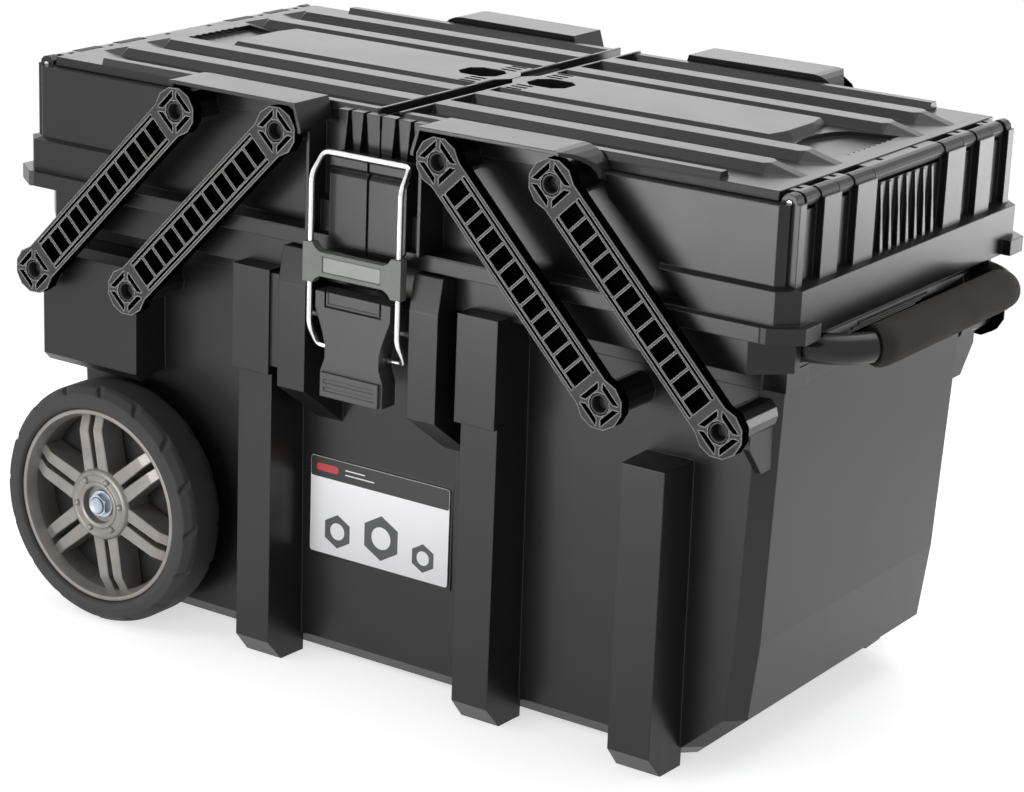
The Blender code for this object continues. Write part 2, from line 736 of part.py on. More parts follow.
def build_base():
    heights = (BIN_FLOOR_Z, BIN_CHINE_Z, BIN_SLOPE_Z, BIN_KNEE_Z, RIM_LOW_Z)
    rings = [bin_ring(z) for z in heights]
    rings.append(bin_ring(RIM_LOW_Z + GAP, RIM_PROUD))
    rings.append(corner_ring(RIM_Z, RIM_HALF_X + RIM_PROUD, RIM_HALF_Y + RIM_PROUD, BIN_CORNER))
    base = loft(rings)

    extras = []
    in_wall = RIM_HALF_Y - 2 * WALL
    for face in (-1, 1):
        side = []
        for hand in (-1, 1):
            x0, x1 = sorted((hand * PILLAR_IN_X, hand * PILLAR_OUT_X))
            side.append(pillar(x0, x1, PILLAR_FRONT, 0.0, PILLAR_TOP_Z))
            x0, x1 = sorted((hand * CAP_IN_X, hand * CAP_OUT_X))
            cap = [
                (-in_wall, PILLAR_TOP_Z - WALL),
                (-CAP_FRONT, PILLAR_TOP_Z - GAP),
                (-CAP_FRONT, CAP_TOP_Z),
                (-SKIRT_HALF_Y - RUN, CAP_TOP_Z),
                (-SKIRT_HALF_Y - RUN, RIM_Z - GAP),
                (-in_wall, RIM_Z - GAP),
            ]
            side.append(prism("x", cap, x0, x1))
            x0, x1 = sorted((hand * HOUSING_IN_X, hand * HOUSING_OUT_X))
            housing = [
                (-in_wall, HOUSING_LOW_Z - HOUSING_TAIL),
                (-HOUSING_FRONT, HOUSING_LOW_Z),
                (-HOUSING_FRONT, RIM_Z),
                (-HOUSING_FRONT + HOUSING_SLOPE, HOUSING_TOP_Z),
                (-SKIRT_HALF_Y - RUN, HOUSING_TOP_Z),
                (-SKIRT_HALF_Y - RUN, RIM_Z - GAP),
                (-in_wall, RIM_Z - GAP),
            ]
            side.append(prism("x", housing, x0, x1))
        web = [
            (-in_wall, PILLAR_TOP_Z),
            (-CAP_FRONT + WEB_INSET, PILLAR_TOP_Z + CAP_PROUD),
            (-CAP_FRONT + WEB_INSET, CAP_TOP_Z - WEB_INSET),
            (-SKIRT_HALF_Y - RUN, CAP_TOP_Z - WEB_INSET),
            (-SKIRT_HALF_Y - RUN, RIM_Z - 2 * GAP),
            (-in_wall, RIM_Z - 2 * GAP),
        ]
        side.append(prism("x", web, -CAP_IN_X - WALL, -HOUSING_OUT_X + WALL))
        side.append(pillar(END_FOOT_IN_X, END_FOOT_OUT_X, PILLAR_FRONT, 0.0, END_FOOT_TOP_Z))
        fender = [
            (-in_wall, FENDER_LOW_Z + FENDER_BEVEL),
            (-FENDER_FRONT + FENDER_BEVEL, FENDER_LOW_Z),
            (-FENDER_FRONT, FENDER_LOW_Z + FENDER_BEVEL),
            (-FENDER_FRONT, RIM_LOW_Z - FENDER_BEVEL),
            (-FENDER_FRONT + FENDER_BEVEL, RIM_LOW_Z),
            (-in_wall, RIM_LOW_Z),
        ]
        side.append(prism("x", fender, -FENDER_OUT_X, -FENDER_IN_X))
        boss_end = ARM_BACK - GAP
        for hand in (-1, 1):
            for x in (ARM_LOW_IN_X, ARM_LOW_OUT_X):
                side.append(
                    cylinder("y", (hand * x, ARM_LOW_Z), -boss_end, -in_wall, BOSS_R, 12)
                )
            gusset_end = RIM_HALF_Y + GUSSET_REACH
            gusset = [
                (-in_wall + WALL, ARM_LOW_Z),
                (-gusset_end, ARM_LOW_Z - 0.004),
                (-gusset_end, ARM_LOW_Z - 0.017),
                (-in_wall - 0.010, ARM_LOW_Z - GUSSET_H),
                (-in_wall + WALL, ARM_LOW_Z - GUSSET_H),
            ]
            x0, x1 = sorted((hand * GUSSET_X, hand * (GUSSET_X + GUSSET_T)))
            side.append(prism("x", gusset, x0, x1))
        wheel_seat = WHEEL_OUT_Y - WHEEL_W + HUB_BACK - GAP
        side.append(
            cylinder("y", (WHEEL_X, WHEEL_R), -wheel_seat, -in_wall, AXLE_R + AXLE_BOSS_WALL, 16)
        )
        bracket = [
            (RIM_HALF_X - BRACKET_IN, -GUIDE_IN_Y),
            (HINGE_X - RUN, -GUIDE_IN_Y),
            (HINGE_X - RUN, -RIM_HALF_Y),
            (RIM_HALF_X - BRACKET_IN - WALL * 5, -RIM_HALF_Y - RIM_PROUD / 2),
        ]
        side.append(prism("z", bracket, RIM_LOW_Z + 0.001, RIM_Z - 2 * GAP))
        for piece in side:
            if face > 0:
                extras.append(copied(piece, MIRROR_Y))
                discard(piece)
            else:
                extras.append(piece)
    label_pad = box(
        LABEL_X0 - LABEL_PAD, LABEL_X1 + LABEL_PAD, -LABEL_FACE_Y, -in_wall,
        LABEL_Z0 - LABEL_PAD, LABEL_Z1 + LABEL_PAD,
    )
    join(base, *extras, label_pad)

    inner = []
    for z in (BIN_FLOOR_Z + WALL, BIN_CHINE_Z + WALL, BIN_SLOPE_Z + 0.002, BIN_KNEE_Z, RIM_Z + 0.01):
        skin = min(z, RIM_Z)
        inner.append(corner_ring(
            z, bin_half_x(skin) - WALL, bin_half_y(skin) - WALL, BIN_CORNER
        ))
    hollow = loft(inner)
    hollows = [hollow]
    for hand in (-1, 1):
        for face in (-1, 1):
            x0, x1 = sorted((hand * (PILLAR_IN_X + WALL), hand * (PILLAR_OUT_X - WALL)))
            y0, y1 = sorted((face * (PILLAR_FRONT - WALL), face * (in_wall - 2 * WALL)))
            hollows.append(box(x0, x1, y0, y1, FOOT_CHAMFER_Z + WALL, PILLAR_TOP_Z - 2 * WALL))
    cut(base, *hollows)

    tunnel_r = AXLE_BORE_R + WALL * 2
    tunnel_top = WHEEL_R + AXLE_R + TUNNEL_WALL
    reach = bin_half_y(WHEEL_R) - WALL / 2
    tunnel = [(WHEEL_X + tunnel_r + WALL, BIN_FLOOR_Z + WALL / 2)]
    tunnel += arc((WHEEL_X, tunnel_top - tunnel_r), tunnel_r, 0, 180, 8)
    tunnel += [(WHEEL_X - tunnel_r - WALL, BIN_FLOOR_Z + WALL / 2)]
    join(base, prism("y", tunnel, -reach, reach))

    drills = [cylinder("y", (WHEEL_X, WHEEL_R), -WHEEL_OUT_Y, WHEEL_OUT_Y, AXLE_BORE_R, 12)]
    for face in (-1, 1):
        for hand in (-1, 1):
            for x in (ARM_LOW_IN_X, ARM_LOW_OUT_X):
                drills.append(pin_drill(hand * x, ARM_LOW_Z, face))
    seat = HOUSING_OUT_X - LATCH_PIN_SEAT
    drills.append(cylinder(
        "x", (-LEVER_PIVOT_Y, LEVER_PIVOT_Z), -seat, seat, LATCH_BORE_R, 12
    ))
    cut(base, *drills)
    return base


LABEL_FACE_Y = bin_half_y(LABEL_Z1 + LABEL_PAD) + GAP / 2


def build_label():
    return box(
        LABEL_X0, LABEL_X1, -LABEL_FACE_Y - GAP - LABEL_T, -LABEL_FACE_Y - GAP,
        LABEL_Z0, LABEL_Z1,
    )


# Handle


BEND_STEPS = 5


def handle_path(share=1.0, leg_end=None):
    """Centre line from -Y to +Y, with the legs or with a share of each bend's last chord."""
    side = []
    for i in range(BEND_STEPS, -1, -1):
        angle = math.pi / 2 * i / BEND_STEPS
        side.append((
            GRIP_X - BEND_R + BEND_R * math.cos(angle),
            LEG_Y - BEND_R + BEND_R * math.sin(angle),
        ))
    if leg_end is None:
        bend, straight = Vector(side[-2]), Vector(side[-1])
        side = [straight + (bend - straight) * share, straight]
    else:
        side.insert(0, (leg_end, LEG_Y))
    near = [(x, -y, HANDLE_Z) for x, y in side]
    far = [(x, y, HANDLE_Z) for x, y in reversed(side)]
    return near + far


def build_tube():
    """Bent steel tube, open at the ends of its legs."""
    tube = wire(handle_path(leg_end=LEG_END_X), TUBE_R, 12)
    return cut(tube, wire(handle_path(leg_end=LEG_END_X - WALL), TUBE_R - TUBE_WALL, 8))


def build_foam():
    """Foam sleeve that reaches a little way into the first bend of the tube."""
    foam = wire(handle_path(share=0.8), FOAM_R, 16)
    return cut(foam, wire(handle_path(share=1.2), TUBE_R + GAP, 12))


def build_guide(face):
    y0, y1 = sorted((face * GUIDE_IN_Y, face * GUIDE_OUT_Y))
    guide = box(LEG_END_X - GUIDE_PAST, HINGE_X - RUN, y0, y1, RIM_Z + GAP, GUIDE_TOP_Z)
    bore = cylinder("x", (face * LEG_Y, HANDLE_Z), -GRIP_X, GRIP_X, TUBE_R + 2 * RUN, 12)
    return cut(guide, bore)


# Wheels


def wheel_y(face, depth):
    """Y of a point that lies a depth in from the wheel's outer side."""
    return face * (WHEEL_OUT_Y - depth)


def build_tyre(face):
    shoulder = WHEEL_R - TYRE_T * 0.3
    bead = HUB_R + TYRE_T * 0.36
    half = [
        (HUB_R + GAP, 0.0025),
        (bead, 0.0),
        (shoulder, TYRE_ROUND * 0.26),
        (WHEEL_R, TYRE_ROUND),
    ]
    profile = half + [(r, WHEEL_W - depth) for r, depth in reversed(half)]
    points = [(r, wheel_y(face, depth)) for r, depth in profile]
    tyre = turned(points, (WHEEL_X, WHEEL_R), 32)
    notches = []
    y0, y1 = sorted((wheel_y(face, -WALL), wheel_y(face, TYRE_ROUND + WALL / 2)))
    for i in range(TREAD_COUNT):
        block = box(WHEEL_R - TREAD_CUT, WHEEL_R + WALL, y0, y1, -TREAD_HALF, TREAD_HALF)
        place = Matrix.Translation((WHEEL_X, 0, WHEEL_R))
        place = place @ Matrix.Rotation(math.tau * (i + 0.25) / TREAD_COUNT, 4, "Y")
        notches.append(copied(block, place))
        discard(block)
    return cut(tyre, merge(notches))


def build_hub(face):
    """Rim, a domed boss with a cup for the nut, and pairs of spokes that dip to the rim."""
    centre = (WHEEL_X, WHEEL_R)
    rim_in = HUB_R - HUB_WALL
    rim_edge = 0.004
    rim = [
        (rim_in, rim_edge),
        (HUB_R - 0.001, rim_edge - 0.0012),
        (HUB_R, rim_edge),
        (HUB_R, WHEEL_W - rim_edge),
        (rim_in, WHEEL_W - rim_edge),
    ]
    hub = turned([(r, wheel_y(face, d)) for r, d in rim], centre, 32)
    dome = [
        (AXLE_BORE_R, CUP_DEPTH),
        (CUP_R, CUP_DEPTH),
        (CUP_R, DOME_FACE),
        (CUP_R + 0.002, DOME_FACE - 0.0008),
        (HUB_DISC_R - 0.004, DOME_FACE),
        (HUB_DISC_R, DOME_FACE + 0.0035),
        (HUB_DISC_R, WHEEL_W - HUB_BACK),
        (AXLE_BORE_R, WHEEL_W - HUB_BACK),
    ]
    add = [turned([(r, wheel_y(face, d)) for r, d in dome], centre, 24)]
    root, tip = HUB_DISC_R - 0.004, rim_in + HUB_WALL / 3
    spoke = [
        (root, wheel_y(face, SPOKE_FACE)),
        (tip - SPOKE_DIP_L, wheel_y(face, SPOKE_FACE)),
        (tip, wheel_y(face, SPOKE_FACE + SPOKE_DIP)),
        (tip, wheel_y(face, WHEEL_W - SPOKE_BACK)),
        (root, wheel_y(face, WHEEL_W - SPOKE_BACK)),
    ]
    for i in range(SPOKE_COUNT):
        turn = math.tau * i / SPOKE_COUNT + math.radians(20.0)
        place = Matrix.Translation((WHEEL_X, 0, WHEEL_R)) @ Matrix.Rotation(turn, 4, "Y")
        for lane in (-1, 1):
            mid = lane * SPOKE_SPREAD
            bar = prism("z", spoke, mid - SPOKE_W / 2, mid + SPOKE_W / 2)
            add.append(copied(bar, place))
            discard(bar)
    return join(hub, *add)


def build_nut(face):
    centre = (WHEEL_X, WHEEL_R)
    nut = cylinder("y", centre, wheel_y(face, CUP_DEPTH - GAP), wheel_y(face, WALL), NUT_R, 6)
    bore = cylinder("y", centre, wheel_y(face, 0.0), wheel_y(face, CUP_DEPTH + WALL), AXLE_BORE_R, 12)
    return cut(nut, bore)


def build_axle():
    end = WHEEL_OUT_Y - WALL / 2
    return cylinder("y", (WHEEL_X, WHEEL_R), -end, end, AXLE_R, 12)


# Arms


ARM_DX = ARM_LOW_IN_X - ARM_TOP_IN_X
ARM_DZ = ARM_TOP_Z - ARM_LOW_Z
ARM_LENGTH = math.hypot(ARM_DX, ARM_DZ)
ARM_ANGLE = math.degrees(math.atan2(ARM_DZ, ARM_DX))
CELL_PITCH = 0.012
CELL_HALF = ARM_HALF_W - 0.0058
CELL_RIB = 0.002
ARM_POCKET = 0.0065
RAIL_POCKET = 0.0035
RAIL_GAP = 0.0015
WINDOW_WALL = 0.0024


def build_arm_blank():
    """Arm along +X from its lower pivot, front face at y = 0 and back at ARM_THICK."""
    lean = math.degrees(math.asin(ARM_HALF_W / ARM_RING_R))
    outline = arc((0, 0), ARM_RING_R, lean, 360 - lean, 8)
    outline += arc((ARM_LENGTH, 0), ARM_RING_R, 180 + lean, 540 - lean, 8)
    arm = prism("y", outline, 0.0, ARM_THICK)
    pockets = []
    inner, outer = ARM_BORE_R + WINDOW_WALL, ARM_RING_R - WINDOW_WALL
    for x in (0, ARM_LENGTH):
        pockets.append(prism("y", arc((x, 0), ARM_BORE_R, 0, 324, 9), -0.001, ARM_THICK + 0.001))
        for mid in range(0, 360, 90):
            window = arc((x, 0), outer, mid - 38, mid + 38, 1)
            window += arc((x, 0), inner, mid + 36, mid - 36, 1)
            pockets.append(prism("y", window, -0.001, ARM_POCKET))
    first = ARM_RING_R + RAIL_GAP
    run = ARM_LENGTH - 2 * first + CELL_RIB
    count = int(run // CELL_PITCH)
    step = run / count
    for i in range(count):
        x0 = first + step * i
        x1 = x0 + step - CELL_RIB
        cell = [(x0, -CELL_HALF), (x1, -CELL_HALF), (x1, CELL_HALF), (x0, CELL_HALF)]
        pockets.append(prism("y", cell, -0.001, ARM_POCKET))
    for lane in (-1, 1):
        z0, z1 = sorted((lane * (CELL_HALF + RAIL_GAP), lane * (ARM_HALF_W - WINDOW_WALL)))
        rail = [(first, z0), (ARM_LENGTH - first, z0), (ARM_LENGTH - first, z1), (first, z1)]
        pockets.append(prism("y", rail, -0.001, RAIL_POCKET))
    return cut(arm, merge(pockets))


def place_arm(blank, hand, face, low_x):
    """Copy of the arm blank on its pivots, for one side and one face of the chest."""
    turn = Matrix.Rotation(-math.radians(180 - ARM_ANGLE), 4, "Y")
    place = Matrix.Translation((low_x, -ARM_FRONT, ARM_LOW_Z)) @ turn
    if hand < 0:
        place = MIRROR_X @ place
    if face > 0:
        place = MIRROR_Y @ place
    return copied(blank, place)


def build_pin(x, z, face):
    head = ARM_FRONT - PIN_HEAD_INSET
    pin = cylinder("y", (x, z), face * head, face * (ARM_FRONT - PIN_LENGTH), PIN_R, 12)
    cup = cylinder("y", (x, z), face * (head + 0.001), face * (head - PIN_CUP_DEPTH), PIN_CUP_R, 8)
    return cut(pin, cup)


# Trays


def tray_ring(z, end_x, half_y, cut_x, cut_y):
    """Plan of a tray at one height, square at the split and cut at its outer corners."""
    return [
        (TRAY_SPLIT_X, -half_y, z),
        (end_x - cut_x, -half_y, z),
        (end_x, -half_y + cut_y, z),
        (end_x, half_y - cut_y, z),
        (end_x - cut_x, half_y, z),
        (TRAY_SPLIT_X, half_y, z),
    ]


def end_fin(y):
    """Thin rib on a tray's end, narrow at its waist and fading into the wall at its top."""
    rings = []
    low, high = BAND_TOP_Z - GAP, HINGE_Z - BARREL_R - WALL / 2
    waist = low + (high - low) * 0.55
    for z, width, proud in (
        (low, END_FIN_W, 0.85),
        (waist, END_FIN_WAIST, 0.55),
        (high, (END_FIN_W + END_FIN_WAIST) / 2, 0.25),
    ):
        x = TRAY_END_X + END_PILLAR_PROUD * proud
        half = width / 2
        x_in = TRAY_END_X - END_FIN_WAIST
        rings.append([(x_in, y - half, z), (x, y - half, z), (x, y + half, z), (x_in, y + half, z)])
    return loft(rings)


def flute(x):
    """Cutter between two fins over the catch: a slot that widens downward."""
    rings = []
    for z, half in (
        (CATCH_TOP_Z + GAP, FLUTE_PITCH * 0.30),
        (LID_DECK_Z, FLUTE_PITCH * 0.12),
        (LID_TOP_Z, FLUTE_PITCH * 0.10),
    ):
        rings.append([
            (x - half, -SKIRT_HALF_Y, z),
            (x + half, -SKIRT_HALF_Y, z),
            (x + half, -FLUTE_FLOOR_Y, z),
            (x - half, -FLUTE_FLOOR_Y, z),
        ])
    return loft(rings)


def hood_outline():
    """Profile of the roof over a pair of arms, down to the ledge."""
    low = POCKET_LOW_Z - 0.001
    side = POCKET_IN_X - HOOD_T
    points = [(side, low), (side, ARM_TOP_Z + 0.0043)]
    points += [(side + HOOD_ARC_R / 4, HOOD_TOP_Z - 0.0005)]
    points += arc((ARM_TOP_OUT_X, HOOD_TOP_Z - HOOD_ARC_R), HOOD_ARC_R, 90, 8, 6)
    points += [(ARM_TOP_OUT_X + HOOD_ARC_R - 0.004, POCKET_SLANT_Z)]
    points += [(POCKET_OUT_X - 0.03, low)]
    return points


def build_tray(hand):
    rings = [
        tray_ring(SKIRT_LOW_Z, SKIRT_END_X, SKIRT_HALF_Y, SKIRT_CORNER, SKIRT_CORNER),
        tray_ring(LEDGE_Z, SKIRT_END_X, SKIRT_HALF_Y, SKIRT_CORNER, SKIRT_CORNER),
        tray_ring(LEDGE_Z + GAP, BAND_END_X, LEDGE_HALF_Y, LEDGE_CORNER, LEDGE_CORNER),
        tray_ring(LEDGE_TOP_Z, BAND_END_X, LEDGE_HALF_Y, LEDGE_CORNER, LEDGE_CORNER),
        tray_ring(LEDGE_TOP_Z + GAP, BAND_END_X, BAND_HALF_Y, BAND_CORNER, BAND_CORNER),
        tray_ring(BAND_TOP_Z, BAND_END_X, BAND_HALF_Y, BAND_CORNER, BAND_CORNER),
        tray_ring(BAND_TOP_Z + STEP_Z, TRAY_END_X, TRAY_HALF_Y, TRAY_CORNER, TRAY_CORNER),
        tray_ring(TRAY_RIM_Z, TRAY_END_X, TRAY_HALF_Y, TRAY_CORNER, TRAY_CORNER),
    ]
    tray = loft(rings)
    add = []
    inner_end = TRAY_END_X - WALL * 3
    for face in (-1, 1):
        block = [
            (inner_end, face * LEDGE_BLOCK_IN_Y),
            (LEDGE_END_X, face * LEDGE_BLOCK_IN_Y),
            (LEDGE_END_X, face * LEDGE_BLOCK_OUT_Y),
            (LEDGE_END_X - LEDGE_BLOCK_W, face * LEDGE_HALF_Y),
            (inner_end, face * (LEDGE_HALF_Y - 0.001)),
        ]
        add.append(prism("z", block, LEDGE_Z + GAP / 2, LEDGE_TOP_Z + GAP / 2))
        y0, y1 = sorted((face * HOOD_FRONT, face * (POCKET_Y - GAP)))
        add.append(prism("y", hood_outline(), y0, y1))
        for low, high in END_PILLARS:
            y0, y1 = sorted((face * low, face * high))
            x0 = TRAY_END_X - WALL * 5 / 3
            add.append(box(x0, END_PILLAR_X, y0, y1, BAND_TOP_Z - 0.001, HINGE_Z))
            near = max(low, BARREL_MIDDLE + BARREL_CUT_ROOM)
            y0, y1 = sorted((face * near, face * high))
            add.append(cylinder("y", (HINGE_X, HINGE_Z), y0, y1, TOOTH_R, 12))
    half_count = int((PILLAR_A[0] - END_FIN_PITCH) // END_FIN_PITCH)
    for i in range(-half_count, half_count + 1):
        add.append(end_fin(END_FIN_PITCH * i))
    add.append(box(
        TRAY_SPLIT_X + GAP, FLUTE_END_X, -TRAY_HALF_Y, -POCKET_Y - GAP,
        TRAY_RIM_Z - 0.001, LID_DECK_Z + WALL,
    ))
    join(tray, *add)

    floor_top = TRAY_FLOOR_Z + WALL
    cuts = [
        box(TRAY_SPLIT_X + WALL, TRAY_WIDE_X, -TRAY_INNER_Y, TRAY_INNER_Y,
            floor_top, TRAY_RIM_Z + WALL),
        box(TRAY_WIDE_X - 0.001, TRAY_END_X - WALL, -TRAY_HALF_Y + WALL, TRAY_HALF_Y - WALL,
            floor_top, TRAY_RIM_Z - 0.004),
        box(TRAY_WIDE_X - 0.002, TRAY_END_X - WALL - BARREL_R, -TRAY_INNER_Y, TRAY_INNER_Y,
            TRAY_RIM_Z - 0.005, TRAY_RIM_Z + WALL),
    ]
    slope = WALL * 0.414
    under = []
    for face in (-1, 1):
        side = [
            (-0.001, face * (SKIRT_HALF_Y - WALL)),
            (SKIRT_END_X - SKIRT_CORNER - slope, face * (SKIRT_HALF_Y - WALL)),
            (SKIRT_END_X - WALL, face * (SKIRT_HALF_Y - SKIRT_CORNER - slope)),
        ]
        under += side if face < 0 else reversed(side)
    cuts.append(prism("z", under, SKIRT_LOW_Z - 0.001, TRAY_FLOOR_Z))
    legs = LEG_Y + TUBE_R + 0.001
    cuts.append(box(
        TRAY_END_X - 0.005, SKIRT_END_X + WALL, -legs, legs, SKIRT_LOW_Z - 0.002, LEDGE_Z + GAP / 2
    ))
    for low, high in BARRELS:
        cuts.append(box(
            HINGE_X - TOOTH_R - 0.0012, END_PILLAR_X + WALL,
            low - BARREL_CUT_ROOM, high + BARREL_CUT_ROOM,
            HINGE_Z - BARREL_R - 0.001, LID_TOP_Z,
        ))
    roof_top = HOOD_TOP_Z - HOOD_T
    roof_low = ARM_TOP_Z + 0.0005
    for face in (-1, 1):
        far = face * (ARM_FRONT + WALL)
        pocket = [
            (POCKET_IN_X, POCKET_LOW_Z),
            (POCKET_OUT_X, POCKET_LOW_Z),
            (POCKET_SLANT_X, POCKET_SLANT_Z),
            (POCKET_SLANT_X - 0.004, roof_low),
            (POCKET_IN_X, roof_low),
        ]
        y0, y1 = sorted((far, face * POCKET_Y))
        cuts.append(prism("y", pocket, y0, y1))
        y0, y1 = sorted((far, face * (LEDGE_HALF_Y + GAP)))
        cuts.append(box(
            POCKET_IN_X, TRAY_END_X - 0.005, y0, y1, LEDGE_TOP_Z - 0.004, POCKET_LOW_Z + 0.001
        ))
        roof_end = ARM_TOP_OUT_X + HOOD_ARC_R + 0.002
        roof = [
            (POCKET_IN_X, roof_low - 0.0015),
            (roof_end, roof_low - 0.0015),
            (roof_end, roof_low + 0.0019),
        ]
        roof += arc((ARM_TOP_OUT_X, HOOD_TOP_Z - HOOD_ARC_R), HOOD_ARC_R - HOOD_T, 8, 90, 6)
        roof += [(POCKET_IN_X + HOOD_ARC_R / 5, roof_top - 0.0005), (POCKET_IN_X, roof_low + 0.0031)]
        y0, y1 = sorted((far, face * (POCKET_Y + HOOD_T)))
        cuts.append(prism("y", roof, y0, y1))
        flank_in = BAIL_X - BAIL_R - 0.0045
        flank = [
            (flank_in, POCKET_LOW_Z - 0.01),
            (POCKET_IN_X + 0.001, POCKET_LOW_Z - 0.01),
            (POCKET_IN_X + 0.001, roof_low + 0.001),
            (flank_in, roof_low + 0.001),
        ]
        y0, y1 = sorted((far, face * (ARM_BACK - RUN - GAP / 3)))
        cuts.append(prism("y", flank, y0, y1))
        taper = [
            (ARM_TOP_OUT_X + 0.003, face * (ARM_FRONT + WALL)),
            (ARM_TOP_OUT_X + 0.030, face * (ARM_FRONT + WALL)),
            (ARM_TOP_OUT_X + 0.030, face * SKIRT_HALF_Y),
            (ARM_TOP_OUT_X + 0.020, face * SKIRT_HALF_Y),
        ]
        cuts.append(prism("z", taper, ARM_TOP_Z - 0.01, HOOD_TOP_Z + WALL))
    x = TRAY_SPLIT_X + FLUTE_PITCH
    while x + FLUTE_PITCH * 0.3 < FLUTE_END_X:
        cuts.append(flute(x))
        x += FLUTE_PITCH
    cut(tray, *cuts)

    more = []
    slant = [
        (SKIRT_END_X - SLANT_RISE, SKIRT_LOW_Z),
        (SKIRT_END_X, SKIRT_LOW_Z + SLANT_RISE),
        (SKIRT_END_X, LEDGE_Z + 0.002),
        (SKIRT_END_X - WALL, LEDGE_Z + 0.005),
        (SKIRT_END_X - WALL, SKIRT_LOW_Z + SLANT_RISE + 0.0012),
        (SKIRT_END_X - SLANT_RISE - 0.0021, SKIRT_LOW_Z + 0.0021),
    ]
    slant_half = LEG_Y - TUBE_R - WALL * 3 / 2
    more.append(prism("y", slant, -slant_half, slant_half))
    for i in range(SLANT_RIBS):
        along = SLANT_RISE * (i + 1) / (SLANT_RIBS + 1)
        x, z = SKIRT_END_X - SLANT_RISE + along, SKIRT_LOW_Z + along
        rib = [(x - 0.0012, z), (x + 0.0005, z - 0.0017), (x + 0.0017, z - 0.0005), (x, z + 0.0012)]
        more.append(prism("y", rib, -BARREL_MIDDLE, BARREL_MIDDLE))
    for face in (-1, 1):
        for x in (ARM_TOP_IN_X, ARM_TOP_OUT_X):
            near, far = face * (LID_HALF_Y + GAP / 2), face * (ARM_BACK - GAP)
            more.append(cylinder("y", (x, ARM_TOP_Z), near, far, BOSS_R, 12))
    catch = [
        (-TRAY_HALF_Y + 0.001, LEDGE_Z + 0.0012),
        (-LEDGE_HALF_Y + 0.003, LEDGE_Z + 0.0012),
        (-CATCH_FRONT, LEDGE_Z + 0.0052),
        (-CATCH_FRONT, CATCH_TOP_Z - 0.0135),
        (-CATCH_FRONT + 0.003, CATCH_TOP_Z - 0.0105),
        (-CATCH_FRONT, CATCH_TOP_Z - 0.0075),
        (-CATCH_FRONT, CATCH_TOP_Z - 0.002),
        (-CATCH_FRONT + 0.002, CATCH_TOP_Z),
        (-TRAY_HALF_Y + 0.001, CATCH_TOP_Z),
    ]
    more.append(prism("x", catch, TRAY_SPLIT_X + GAP, CATCH_HALF_X))
    join(tray, *more)
    hinge_reach = PILLAR_C[1] + 0.0012
    drills = [cylinder("y", (HINGE_X, HINGE_Z), -hinge_reach, hinge_reach, HINGE_BORE_R, 12)]
    for face in (-1, 1):
        for x in (ARM_TOP_IN_X, ARM_TOP_OUT_X):
            drills.append(pin_drill(x, ARM_TOP_Z, face))
    round_off = [
        (CATCH_HALF_X - CATCH_ROUND, LEDGE_TOP_Z - CATCH_ROUND),
        (CATCH_HALF_X + 0.001, LEDGE_TOP_Z - CATCH_ROUND),
        (CATCH_HALF_X + 0.001, LEDGE_TOP_Z),
        (CATCH_HALF_X - CATCH_ROUND * 0.25, LEDGE_TOP_Z - CATCH_ROUND * 0.5),
    ]
    drills.append(prism("y", round_off, -CATCH_FRONT - 0.001, -LEDGE_HALF_Y))
    cut(tray, *drills)
    if hand < 0:
        mirrored = copied(tray, MIRROR_X)
        discard(tray)
        return mirrored
    return tray


# Lids


def ridge(y_mid, half_top, x0, x1, hip):
    """Raised ridge along X with sloping sides and a hipped outer end."""
    low, half_low = LID_DECK_Z - GAP, half_top + RIDGE_FOOT
    tip = RIDGE_FOOT
    bottom = [
        (x0, y_mid - half_low, low),
        (x1, y_mid - half_low, low),
        (x1 + hip, y_mid - half_low * 0.35, low),
        (x1 + hip, y_mid + half_low * 0.35, low),
        (x1, y_mid + half_low, low),
        (x0, y_mid + half_low, low),
    ]
    upper = [
        (x0, y_mid - half_top, LID_TOP_Z),
        (x1 - tip, y_mid - half_top, LID_TOP_Z),
        (x1, y_mid - half_top * 0.5, LID_TOP_Z),
        (x1, y_mid + half_top * 0.5, LID_TOP_Z),
        (x1 - tip, y_mid + half_top, LID_TOP_Z),
        (x0, y_mid + half_top, LID_TOP_Z),
    ]
    return loft([bottom, upper])


def finger_recess():
    """Eight-sided cutter for the recess beside the split, in the middle of a lid."""
    x0, x1 = LID_IN_X + RECESS_WEB, LID_IN_X + RECESS_WEB + RECESS_L
    half, corner = RECESS_W / 2, RECESS_W / 4
    outline = [
        (x0 + corner, -half), (x1 - corner, -half), (x1, -half + corner), (x1, half - corner),
        (x1 - corner, half), (x0 + corner, half), (x0, half - corner), (x0, -half + corner),
    ]
    return prism("z", outline, LID_DECK_Z - GRIP_SINK, LID_TOP_Z + WALL)


def ribbed_tab(face):
    """Cutters of the fine ladder of slots in the tab beside a finger recess."""
    slots = []
    y0 = RECESS_W / 2 + WALL
    for i in range(TAB_SLOTS):
        near, far = sorted((face * (y0 + TAB_PITCH * i), face * (y0 + TAB_PITCH * (i + 0.5))))
        slots.append(box(
            LID_IN_X + RECESS_WEB, LID_IN_X + RECESS_WEB + TAB_W, near, far,
            LID_TOP_Z - 0.002, LID_TOP_Z + WALL,
        ))
    return slots


